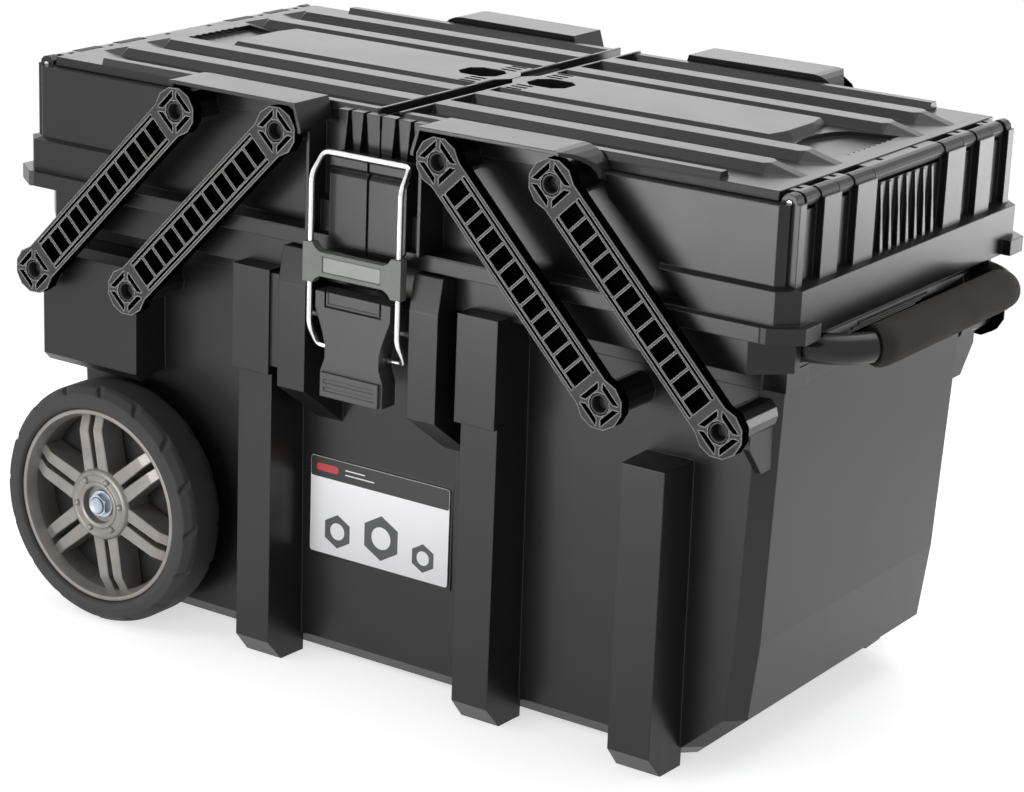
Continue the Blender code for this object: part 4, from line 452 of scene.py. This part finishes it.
def tube_enamel():
    """Black satin enamel over steel, with an orange-peel ripple."""
    look = Finish("tube_enamel", IOR=1.50, Specular_IOR_Level=0.35)
    tone = look.noise(30.0, 3.0)
    look.colour(look.blend(tone, (0.0060, 0.0057, 0.0056), (0.0095, 0.0090, 0.0088)))
    look.roughness(look.clouded(tone, 0.22, 0.27))
    look.relief(look.noise(420.0), 0.00003)
    return look.material


def foam_sleeve():
    """Matte closed-cell foam, brown-black, with fine pores."""
    look = Finish("foam_sleeve", IOR=1.35)
    pores = look.cells(1300.0)
    tone = look.noise(38.0, 3.0)
    base = look.blend(look.clouded(tone), (0.0205, 0.0188, 0.0150), (0.0300, 0.0275, 0.0225))
    # The pores are painted darker than the foam round them: painted shade in the pores.
    look.colour(look.blend(look.spread(pores, 0.05, 0.35, 0.5, 0.0), base, (0.009, 0.008, 0.007)))
    look.roughness(look.clouded(tone, 0.80, 0.94))
    look.relief(pores, 0.00012)
    return look.material


def moulded_grey(name, low, high, rough):
    """Matte grey moulding with fine grain."""
    look = Finish(name, IOR=1.48)
    look.soften(EDGE)
    tone = look.noise(55.0, 3.0)
    look.colour(look.blend(look.clouded(tone), low, high))
    look.roughness(look.clouded(tone, rough, rough + 0.1))
    look.relief(look.noise(1500.0), 0.00002)
    return look.material


def print_ink(name, low, high, span=None):
    """Printed film, mottled or with its tone running from low to high over a height span."""
    look = Finish(name, IOR=1.5)
    mottle = look.noise(900.0)
    share = look.spread(look.axis("Z"), *span) if span else look.noise(30.0)
    look.colour(look.blend(share, low, high))
    look.roughness(look.clouded(mottle, 0.42, 0.50))
    look.relief(mottle, 0.00001)
    return look.material


BLACK = moulded_black()
ARM = arm_black()
RUBBER = tyre_rubber()
BRONZE = hub_bronze()
BRIGHT_ZINC = zinc("wire_zinc", (0.86, 0.87, 0.88), 0.14)
BLUE_ZINC = zinc("nut_zinc", (0.46, 0.51, 0.57), 0.26)
PIN_STEEL = zinc("pin_steel", (0.70, 0.71, 0.72), 0.26)
DARK_STEEL = zinc("dark_steel", (0.10, 0.10, 0.105), 0.34)
PIN_BLACK = moulded_grey("pin_black", (0.006, 0.006, 0.006), (0.010, 0.010, 0.010), 0.42)
ENAMEL = tube_enamel()
FOAM = foam_sleeve()
BRIDGE_GREY = moulded_grey("bridge_grey", (0.105, 0.113, 0.100), (0.130, 0.139, 0.124), 0.40)
INLAY_GREY = moulded_grey("inlay_grey", (0.22, 0.235, 0.22), (0.27, 0.285, 0.27), 0.36)
LEVER_GREY = moulded_grey("lever_grey", (0.034, 0.034, 0.034), (0.044, 0.043, 0.043), 0.38)


# Mesh makers: every new surface is a grid of two parameters


def add_object(name, mesh, material, body, nodes=()):
    """Link a mesh, give it its finish and let it ride on its body."""
    mesh.materials.clear()
    mesh.materials.append(material)
    obj = bpy.data.objects.new(name, mesh)
    bpy.context.scene.collection.objects.link(obj)
    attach(obj, body)
    if nodes:
        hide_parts(*nodes)
    return obj


def skin(points, round_rows=False, round_columns=False, caps=False):
    """Vertices and faces of a grid of points (rows, columns, 3), each cell one quad."""
    rows, columns = points.shape[:2]
    index = np.arange(rows * columns).reshape(rows, columns)
    if round_rows:
        index = np.vstack([index, index[:1]])
    if round_columns:
        index = np.hstack([index, index[:, :1]])
    quads = np.stack([index[:-1, :-1], index[:-1, 1:], index[1:, 1:], index[1:, :-1]], axis=-1)
    faces = quads.reshape(-1, 4).tolist()
    if caps:
        ring = np.arange(columns)
        faces.append(ring[::-1].tolist())
        faces.append((ring + (rows - 1) * columns).tolist())
    return points.reshape(-1, 3), faces


def gathered(name, parts, smooth=35.0):
    """One mesh from several closed skins, its faces turned outwards."""
    vertices, faces, start = [], [], 0
    for part_vertices, part_faces in parts:
        vertices.append(part_vertices)
        faces += [[i + start for i in face] for face in part_faces]
        start += len(part_vertices)
    mesh = bpy.data.meshes.new(name)
    mesh.from_pydata(np.vstack(vertices).tolist(), [], faces)
    bm = bmesh.new()
    bm.from_mesh(mesh)
    bmesh.ops.recalc_face_normals(bm, faces=bm.faces)
    bm.to_mesh(mesh)
    bm.free()
    mesh.shade_smooth()
    mesh.set_sharp_from_angle(angle=math.radians(smooth))
    return mesh


def bent(start, corner, end, steps):
    """Quadratic blend: (1 - t)^2 start + 2 t (1 - t) corner + t^2 end."""
    t = np.linspace(0.0, 1.0, steps + 1)[:, None]
    return (1 - t) ** 2 * start + 2 * t * (1 - t) * corner + t ** 2 * end


def rounded(outline, radius, steps=3):
    """Closed outline with each corner replaced by a quadratic blend."""
    outline = np.asarray(outline, float)
    before = np.roll(outline, 1, axis=0) - outline
    after = np.roll(outline, -1, axis=0) - outline
    reach_before = np.linalg.norm(before, axis=1, keepdims=True)
    reach_after = np.linalg.norm(after, axis=1, keepdims=True)
    start = outline + before / reach_before * np.minimum(radius, 0.45 * reach_before)
    end = outline + after / reach_after * np.minimum(radius, 0.45 * reach_after)
    bend = bent(start[:, None], outline[:, None], end[:, None], steps)
    return bend.reshape(-1, outline.shape[1])


def round_angles(segments):
    """Equal steps round a full turn, from zero."""
    return np.linspace(0.0, math.tau, segments, endpoint=False)


def about_y(radius, y, centre, angle):
    """Points on circles about a Y axis: (cx + r cos a, y, cz + r sin a)."""
    x, z = centre[0] + radius * np.cos(angle), centre[1] + radius * np.sin(angle)
    return np.stack(np.broadcast_arrays(x, y, z), axis=-1)


def turned(profile, centre, segments, wave=None):
    """Closed (radius, y) profile turned about a Y axis, less the wave's depth."""
    profile = np.asarray(profile, float)
    angle = round_angles(segments)
    radius = profile[:, :1] - wave(profile, angle) if wave else profile[:, :1]
    points = about_y(radius, profile[:, 1:], centre, angle)
    return skin(points, round_rows=True, round_columns=True)


def plug(profile, centre, segments):
    """Open (radius, y) profile turned about a Y axis, flat at both ends."""
    profile = np.asarray(profile, float)
    points = about_y(profile[:, :1], profile[:, 1:], centre, round_angles(segments))
    return skin(points, round_columns=True, caps=True)


def hexagon(reach, angle):
    """Distance of a hexagon's flats: reach cos 30 / cos(angle off the nearest flat)."""
    sector = (angle + math.pi / 6) % (math.pi / 3) - math.pi / 6
    return reach * math.cos(math.pi / 6) / np.cos(sector)


def filleted(corners, radius, steps=8):
    """Open path whose inner corners are bent by an arc-like quadratic blend."""
    corners = np.asarray(corners, float)
    parts = [corners[:1]]
    for before, corner, after in zip(corners, corners[1:], corners[2:]):
        to_before, to_after = before - corner, after - corner
        near = min(radius, 0.49 * np.linalg.norm(to_before))
        far = min(radius, 0.49 * np.linalg.norm(to_after))
        start = corner + to_before / np.linalg.norm(to_before) * near
        end = corner + to_after / np.linalg.norm(to_after) * far
        parts.append(bent(start, corner, end, steps))
    parts.append(corners[-1:])
    return np.vstack(parts)


def swept(path, radii, sides, side_axis):
    """Round section carried along a path: centre + r (cos a side + sin a normal)."""
    path = np.asarray(path, float)
    tangent = np.gradient(path, axis=0)
    tangent /= np.linalg.norm(tangent, axis=1, keepdims=True)
    side = np.tile(np.asarray(side_axis, float), (len(path), 1))
    side -= (side * tangent).sum(1, keepdims=True) * tangent
    side /= np.linalg.norm(side, axis=1, keepdims=True)
    normal = np.cross(tangent, side)
    angle = round_angles(sides)[:, None]
    radii = np.broadcast_to(np.asarray(radii, float), (len(path),))[:, None, None]
    ring = np.cos(angle) * side[:, None] + np.sin(angle) * normal[:, None]
    return path[:, None] + radii * ring


def plate(outline, y_back, y_front, edge=0.0):
    """Flat outline in X and Z raised along -Y, its front edge eased inwards."""
    outline = np.asarray(outline, float)
    centre = outline.mean(0)
    inward = centre - outline
    inward /= np.linalg.norm(inward, axis=1, keepdims=True)
    levels = [(y_back, 0.0), (y_front, edge)]
    if edge:
        levels.insert(1, (y_front + edge, 0.0))
    rings = []
    for y, shrink in levels:
        flat = outline + inward * shrink
        rings.append(np.stack([flat[:, 0], np.full(len(flat), y), flat[:, 1]], axis=-1))
    return skin(np.stack(rings), round_columns=True, caps=True)


def softened(node, name, body, material, width):
    """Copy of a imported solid, welded, its flats merged and its edges rounded by a Bevel."""
    bm = bmesh.new()
    bm.from_mesh(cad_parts[node].data)
    bmesh.ops.remove_doubles(bm, verts=bm.verts, dist=WELD)
    bmesh.ops.dissolve_limit(
        bm, angle_limit=math.radians(FLAT_DEG), verts=bm.verts, edges=bm.edges, delimit={"NORMAL"}
    )
    mesh = bpy.data.meshes.new(name)
    bm.to_mesh(mesh)
    bm.free()
    mesh.shade_smooth()
    obj = add_object(name, mesh, material, body, (node,))
    bevel = obj.modifiers.new("Edges", "BEVEL")
    bevel.width = width
    bevel.segments = 2
    bevel.limit_method = "ANGLE"
    bevel.angle_limit = math.radians(SHARP_DEG)
    bevel.harden_normals = True
    bevel.miter_outer = "MITER_SHARP"


# Solids that stay as packed, under their own finish


def keep(node, material):
    """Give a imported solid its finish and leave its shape."""
    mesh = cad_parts[node].data
    mesh.materials.clear()
    mesh.materials.append(material)


for node in ("base_bin", "handle_guide_front", "handle_guide_back"):
    keep(node, BLACK)
for side in SIDES:
    keep(f"{side}_tray", BLACK)
    keep(f"{side}_lid", BLACK)
    keep(f"{side}_lid_pin", PIN_STEEL)
keep("latch_lever", LEVER_GREY)
keep("latch_bridge", BRIDGE_GREY)
keep("latch_pin", DARK_STEEL)


# Arms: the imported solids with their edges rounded

for side, rank, face in ARMS:
    arm = f"{side}_{rank}_arm_{face}"
    softened(arm, f"{arm}_link", f"{side}_{rank}_arms", ARM, FINE_EDGE)


# Wheels


def tread_wave(profile, angle):
    """Depth of the tread's cuts: a slanted notch between blocks, at the shoulders only."""
    depth_in = np.abs(profile[:, 1] - profile[:, 1].mean())[:, None] / (TYRE_W / 2)
    tread_from = TYRE_R - 0.0062
    on_tread = np.clip((profile[:, :1] - tread_from) / 0.004, 0.0, 1.0)
    slant = 0.16 * (depth_in - 0.6)
    phase = (angle[None, :] + slant) * TREAD_BLOCKS / math.tau
    away = np.abs(phase - np.round(phase)) * math.tau * TYRE_R / TREAD_BLOCKS
    notch = np.clip(1.6 - away / TREAD_NOTCH_HALF_W, 0.0, 1.0)
    on_side = np.clip((depth_in - 0.62) / 0.1, 0.0, 1.0)
    step = TREAD_STEP * (phase - np.floor(phase)) * on_side
    shoulder = np.clip((depth_in - 0.50) / 0.12, 0.0, 1.0)
    return on_tread * (TREAD_GROOVE * notch * shoulder + step)


def tyre_profile(face):
    """Closed section of the tyre as (radius, y): flat sidewalls, eased shoulders, flat tread."""
    half = TYRE_W / 2
    corners = [
        (TYRE_BEAD_R, -half + 0.0028), (TYRE_BEAD_R + 0.0015, -half + 0.0006),
        (TYRE_BEAD_R + 0.0050, -half), (TYRE_R - 0.0052, -half + 0.0014),
        (TYRE_R - 0.0012, -half + 0.0062), (TYRE_R, -half + 0.0105),
        (TYRE_R, half - 0.0105), (TYRE_R - 0.0012, half - 0.0062),
        (TYRE_R - 0.0052, half - 0.0014), (TYRE_BEAD_R + 0.0050, half),
        (TYRE_BEAD_R + 0.0015, half - 0.0006), (TYRE_BEAD_R, half - 0.0028),
    ]
    line = rounded(corners, 0.0009, 3)
    gaps = np.linalg.norm(np.diff(np.vstack([line, line[:1]]), axis=0), axis=1)
    extra = [np.linspace(0, 1, max(2, int(g / 0.0014) + 1))[:-1, None] for g in gaps]
    ends = np.roll(line, -1, axis=0)
    dense = np.vstack([a + (b - a) * t for a, b, t in zip(line, ends, extra)])
    low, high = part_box(f"tyre_{face}")
    dense[:, 1] += (low.y + high.y) / 2
    return dense


def spoke(turn, lane, outward, y_outer):
    """Flat spoke from the hub disc that dips to the rim: an eased box section along the radius."""
    radius = np.array([0.0235, 0.0535, 0.0557, 0.0620, 0.0677])
    front = np.array([0.0075, 0.0075, 0.0078, 0.0108, 0.0130])
    side = np.array([-1.0, 1.0, 1.0, 1.0, -1.0, -1.0])
    inset = SPOKE_EASE * np.array([1, -1, 0, 0, 0, 0])
    drop = SPOKE_EASE * np.array([0, 0, 1, 0, 0, 1])
    at_back = np.array([0, 0, 0, 1, 1, 0])
    depth = np.where(at_back, SPOKE_BACK, front[:, None] + drop)
    across = lane * SPOKE_LANE + SPOKE_HALF_W[:, None] * side + inset
    along = radius[:, None] * np.ones(len(drop))
    y = y_outer - outward * depth
    points = np.stack([
        WHEEL.x + along * math.cos(turn) - across * math.sin(turn), y,
        WHEEL.z + along * math.sin(turn) + across * math.cos(turn),
    ], axis=-1)
    return skin(points, round_columns=True, caps=True)


def stud(centre, y_base, outward):
    """Small round-headed stud: a quarter ellipse turned about Y, on a sunk foot."""
    profile = [(STUD_R * 0.98, y_base - outward * 0.002)]
    for a in np.linspace(0.0, math.pi / 2 * 0.96, 5):
        profile.append((STUD_R * math.cos(a), y_base + outward * STUD_H * math.sin(a)))
    return plug(profile, centre, 14)


def hex_nut(centre, y_back, y_front):
    """Six-sided nut whose front corners fall away to a chamfer circle, with an open bore."""
    angle = round_angles(48)
    flat = hexagon(NUT_REACH, angle)
    circle = NUT_REACH * 0.90
    ease = 0.0009 * np.clip((flat - NUT_REACH * 0.88) / (NUT_REACH * 0.12), 0, 1)
    sign = 1.0 if y_front > y_back else -1.0
    levels = [
        (AXLE_BORE_R, y_back), (flat, y_back), (flat, y_front - sign * ease),
        (np.minimum(circle, flat), y_front), (AXLE_BORE_R, y_front),
    ]
    points = np.stack([about_y(radius, y, centre, angle) for radius, y in levels])
    return skin(points, round_rows=True, round_columns=True)


def add_wheel(face, outward):
    """Tyre, hub with its spokes and studs, a web painted black as shade between the spokes, and the
    washer and nut of one side.
    """
    low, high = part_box(f"tyre_{face}")
    y_outer = high.y if outward > 0 else low.y
    centre = (WHEEL.x, WHEEL.z)
    tyre = turned(tyre_profile(face), centre, 384, tread_wave)
    add_object(f"tyre_{face}_rubber", gathered("tyre", [tyre], 30), RUBBER,
               f"wheel_{face}", (f"tyre_{face}",))

    def at(depth):
        return y_outer - outward * depth

    rim = rounded([
        (HUB_R - HUB_RIM_WALL, at(0.0118)), (HUB_R - 0.0040, at(0.0046)),
        (HUB_R - 0.0034, at(0.0030)), (HUB_R - 0.0008, at(0.0030)), (HUB_R, at(0.0040)),
        (HUB_R, at(TYRE_W - 0.0040)), (HUB_R - HUB_RIM_WALL, at(TYRE_W - 0.0040)),
    ], 0.0006)
    boss = rounded([
        (AXLE_BORE_R, at(0.0106)), (0.0139, at(0.0106)), (0.0139, at(0.0048)), (0.0158, at(0.0040)),
        (0.0172, at(0.0042)), (0.0178, at(0.0052)), (0.0222, at(0.0054)), (0.0232, at(0.0046)),
        (0.0254, at(0.0056)), (HUB_DISC_R, at(0.0082)), (HUB_DISC_R, at(TYRE_W - 0.0020)),
        (AXLE_BORE_R, at(TYRE_W - 0.0020)),
    ], 0.0005)
    parts = [turned(rim, centre, 160), turned(boss, centre, 96)]
    for i in range(SPOKE_PAIRS):
        turn = -math.radians(360.0 / SPOKE_PAIRS * i + FIRST_SPOKE_DEG)
        for lane in (-1, 1):
            parts.append(spoke(turn, lane, outward, y_outer))
        beside = turn + math.radians(STUD_DEG)
        x = centre[0] + STUD_RING_R * math.cos(beside)
        z = centre[1] + STUD_RING_R * math.sin(beside)
        parts.append(stud((x, z), at(0.0053), outward))
    add_object(f"hub_{face}_wheel", gathered("hub", parts, 32), BRONZE,
               f"wheel_{face}", (f"hub_{face}",))

    # The web behind the spokes takes the near-black pin finish instead of the hub's bronze: painted
    # shade between the spokes.
    web_from, web_to = HUB_DISC_R - 0.0010, HUB_R - HUB_RIM_WALL + 0.0010
    painted_shade_web = rounded([
        (web_from, at(WEB_FRONT)), (web_to, at(WEB_FRONT)),
        (web_to, at(WEB_BACK)), (web_from, at(WEB_BACK)),
    ], 0.0003)
    add_object(f"hub_{face}_web", gathered("painted_shade_web", [turned(painted_shade_web, centre, 96)]), PIN_BLACK,
               f"wheel_{face}")

    washer = rounded([
        (0.0066, at(0.0102)), (0.0066, at(0.0086)), (0.0100, at(0.0086)), (0.0100, at(0.0102)),
    ], 0.0004)
    parts = [turned(washer, centre, 48), hex_nut(centre, at(0.0086), at(0.0038))]
    add_object(f"wheel_nut_{face}_zinc", gathered("nut", parts, 30), BLUE_ZINC,
               "base", (f"wheel_nut_{face}",))


add_wheel("front", -1)
add_wheel("back", 1)


def add_axle():
    """Round axle with chamfered, slightly dished ends."""
    low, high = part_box("wheel_axle")
    radius = (high.z - low.z) / 2
    front, back = [
        [(0.0012, y + sign * 0.0006), (radius * 0.55, y + sign * 0.0002),
         (radius - 0.0010, y), (radius, y + sign * 0.0010)]
        for y, sign in ((low.y, 1), (high.y, -1))
    ]
    mesh = gathered("axle", [plug(front + back[::-1], (WHEEL.x, WHEEL.z), 40)])
    add_object("wheel_axle_rod", mesh, BLUE_ZINC, "base", ("wheel_axle",))


add_axle()


# Arm pins: turned plugs with a deep cup


def add_arm_pin(node, body):
    """Plug with a rounded lip round a deep cup, turned about Y."""
    low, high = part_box(node)
    centre = ((low.x + high.x) / 2, (low.z + high.z) / 2)
    outward = 1 if high.y > 0 else -1
    head = high.y if outward > 0 else low.y
    tail = low.y if outward > 0 else high.y
    radius = (high.z - low.z) / 2
    profile = [
        (0.0010, head - outward * 0.0079), (0.0046, head - outward * 0.0078),
        (0.0050, head - outward * 0.0070), (0.0053, head - outward * 0.0006),
        (0.0057, head), (radius - 0.0005, head), (radius, head - outward * 0.0006),
        (radius, tail + outward * 0.0010), (radius - 0.0010, tail), (0.0010, tail),
    ]
    mesh = gathered(f"{node}_plug", [plug(profile, centre, 40)])
    add_object(f"{node}_plug", mesh, PIN_BLACK, body, (node,))


for side, rank, face in ARMS:
    add_arm_pin(f"{side}_{rank}_low_pin_{face}", "base")
    add_arm_pin(f"{side}_{rank}_top_pin_{face}", f"{side}_tray")


# Handle


def handle_line(leg_end, steps=12):
    """Centre line of the U: two legs, two quarter bends and the straight grip."""
    low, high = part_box("handle_tube")
    grip_x, leg_y, z = high.x - TUBE_R, high.y - TUBE_R, (low.z + high.z) / 2
    angle = np.linspace(math.pi / 2, 0.0, steps + 1)
    bend = np.stack([
        grip_x - TUBE_BEND_R + TUBE_BEND_R * np.cos(angle),
        -(leg_y - TUBE_BEND_R + TUBE_BEND_R * np.sin(angle)),
    ], axis=-1)
    near = np.vstack([[(leg_end, -leg_y)], [(bend[0, 0] - 0.004, -leg_y)], bend])
    far = near[::-1] * (1, -1)
    line = np.vstack([near, far])
    return np.column_stack([line, np.full(len(line), z)])


def add_handle():
    """Bent tube with open ends, and the foam sleeve over its grip."""
    line = handle_line(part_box("handle_tube")[0].x)
    outer = swept(line, TUBE_R, 40, (0, 0, 1))
    inner = swept(line, TUBE_R - TUBE_WALL, 40, (0, 0, 1))[::-1]
    tube = skin(np.vstack([outer, inner]), round_rows=True, round_columns=True)
    add_object("handle_tube_enamel", gathered("handle_tube_enamel", [tube]), ENAMEL, "handle",
               ("handle_tube",))

    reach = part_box("handle_grip")[1].y - 0.0010
    along = np.linspace(-reach, reach, FOAM_STATIONS)
    x = np.interp(along, line[:, 1], line[:, 0])
    path = np.column_stack([x, along, np.full(FOAM_STATIONS, line[0, 2])])
    swell = np.full(FOAM_STATIONS, FOAM_R)
    swell[[0, -1]] = FOAM_R - 0.0016
    swell[[1, -2]] = FOAM_R - 0.0003
    path[1, 1], path[-2, 1] = path[0, 1] + 0.0016, path[-1, 1] - 0.0016
    outer = swept(path, swell, 48, (0, 0, 1))
    inner = swept(path, TUBE_R + FOAM_GAP, 48, (0, 0, 1))[::-1]
    sleeve = skin(np.vstack([outer, inner]), round_rows=True, round_columns=True)
    grip = add_object("handle_grip_foam", gathered("grip", [sleeve]), FOAM, "handle",
                      ("handle_grip",))


add_handle()


# Latch wire and the inlay of its bridge


def add_bail():
    """Bent wire: lower feet, long legs and a bar that leans in over the catch blocks."""
    low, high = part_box("latch_bail")
    half_x = (high.x - low.x) / 2 - WIRE_R
    bar_z, foot_z = high.z - WIRE_R, low.z + WIRE_R
    leg_y = low.y + WIRE_R
    bar_y = leg_y + 0.0110
    foot_y = leg_y + 0.0095
    half = [
        (0.0180, foot_y, foot_z),
        (half_x, foot_y, foot_z + 0.0002),
        (half_x, leg_y, foot_z + 0.0160),
        (half_x, leg_y, bar_z - 0.0140),
        (half_x - 0.0012, bar_y, bar_z),
        (0.0, bar_y, bar_z),
    ]
    right = [(SPLIT_X + x, y, z) for x, y, z in half]
    left = [(SPLIT_X - x, y, z) for x, y, z in reversed(half[:-1])]
    line = filleted(right + left, WIRE_BEND_R)
    wire = skin(swept(line, WIRE_R, 20, (0.02, -1, 0.35)), round_columns=True, caps=True)
    add_object("latch_bail_wire", gathered("latch_bail_wire", [wire], 50), BRIGHT_ZINC,
               "latch_bail", ("latch_bail",))


def rectangle(x0, x1, z0, z1):
    """Corners in X and Z."""
    return [(x0, z0), (x1, z0), (x1, z1), (x0, z1)]


def add_bridge_inlay():
    """Pale plate that lies in the bridge's front."""
    low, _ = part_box("latch_bridge")
    outline = rounded(rectangle(
        SPLIT_X - INLAY_HALF_W, SPLIT_X + INLAY_HALF_W, low.z + INLAY_FOOT, low.z + INLAY_TOP
    ), 0.0012)
    mesh = gathered("bridge_inlay", [plate(outline, low.y + 0.00075, low.y + 0.0003, 0.0002)])
    add_object("bridge_inlay", mesh, INLAY_GREY, "latch_bail")


add_bail()
add_bridge_inlay()


# Sticker: a plain film with a dark head band and a few generic shapes


def film(outline, thickness, corner, layer=0):
    """Film shape with round corners; each layer's front lies a little further out."""
    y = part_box("sticker_plate")[0].y - FILM_STEP * layer
    return plate(rounded(outline, corner), y + thickness, y)


def hexagon_ring(cx, cz, radius, y):
    """Flat hexagonal ring: six-sided outside, round bore."""
    angle = round_angles(36)
    outer, inner, front = hexagon(radius, angle), radius * 0.5, y - RING_RELIEF
    levels = [(inner, y), (outer, y), (outer, front), (inner, front)]
    points = np.stack([about_y(reach, level, (cx, cz), angle) for reach, level in levels])
    return skin(points, round_rows=True, round_columns=True)


def add_print(name, parts, ink, nodes=()):
    """Link one printed piece of the sticker."""
    add_object(name, gathered(name, parts), ink, "base", nodes)


def add_sticker():
    """Pale film, head band, lozenge, two lines and three rings, none of them words."""
    low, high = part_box("sticker_plate")
    x0, x1, z0, z1 = low.x, high.x, low.z, high.z
    head = z1 - 0.0150
    field = print_ink("film_pale", (0.60, 0.60, 0.61), (0.80, 0.80, 0.81), (z0, head))
    dark = print_ink("film_dark", (0.006, 0.006, 0.007), (0.010, 0.010, 0.011))
    red = print_ink("film_red", (0.42, 0.030, 0.040), (0.50, 0.040, 0.050))
    grey = print_ink("film_grey", (0.035, 0.036, 0.038), (0.060, 0.062, 0.065))
    pale = print_ink("film_line", (0.62, 0.63, 0.64), (0.70, 0.71, 0.72))

    sheet = film(rectangle(x0, x1, z0, z1), 0.0007, 0.0022)
    add_print("sticker_film", [sheet], field, ("sticker_plate",))
    band = rectangle(x0 + 0.0002, x1 - 0.0002, head, z1 - 0.0002)
    add_print("sticker_head", [film(band, 0.0003, 0.0020, 1)], dark)
    lozenge = rectangle(x0 + 0.005, x0 + 0.024, head + 0.0048, head + 0.0102)
    add_print("sticker_lozenge", [film(lozenge, 0.0003, 0.0026, 2)], red)
    lines = []
    for i, length in enumerate((0.017, 0.025)):
        z = head + 0.0088 - 0.0034 * i
        bar = np.asarray(rectangle(x0 + 0.030, x0 + 0.030 + length, z, z + 0.0009))
        lines.append(plate(bar, low.y, low.y - LINE_RELIEF))
    add_print("sticker_lines", lines, pale)
    rings = [
        hexagon_ring(x0 + cx, z0 + 0.006 + radius, radius, low.y)
        for cx, radius in ((0.024, 0.0125), (0.062, 0.0165), (0.098, 0.0105))
    ]
    add_print("sticker_hexagons", rings, grey)


add_sticker()
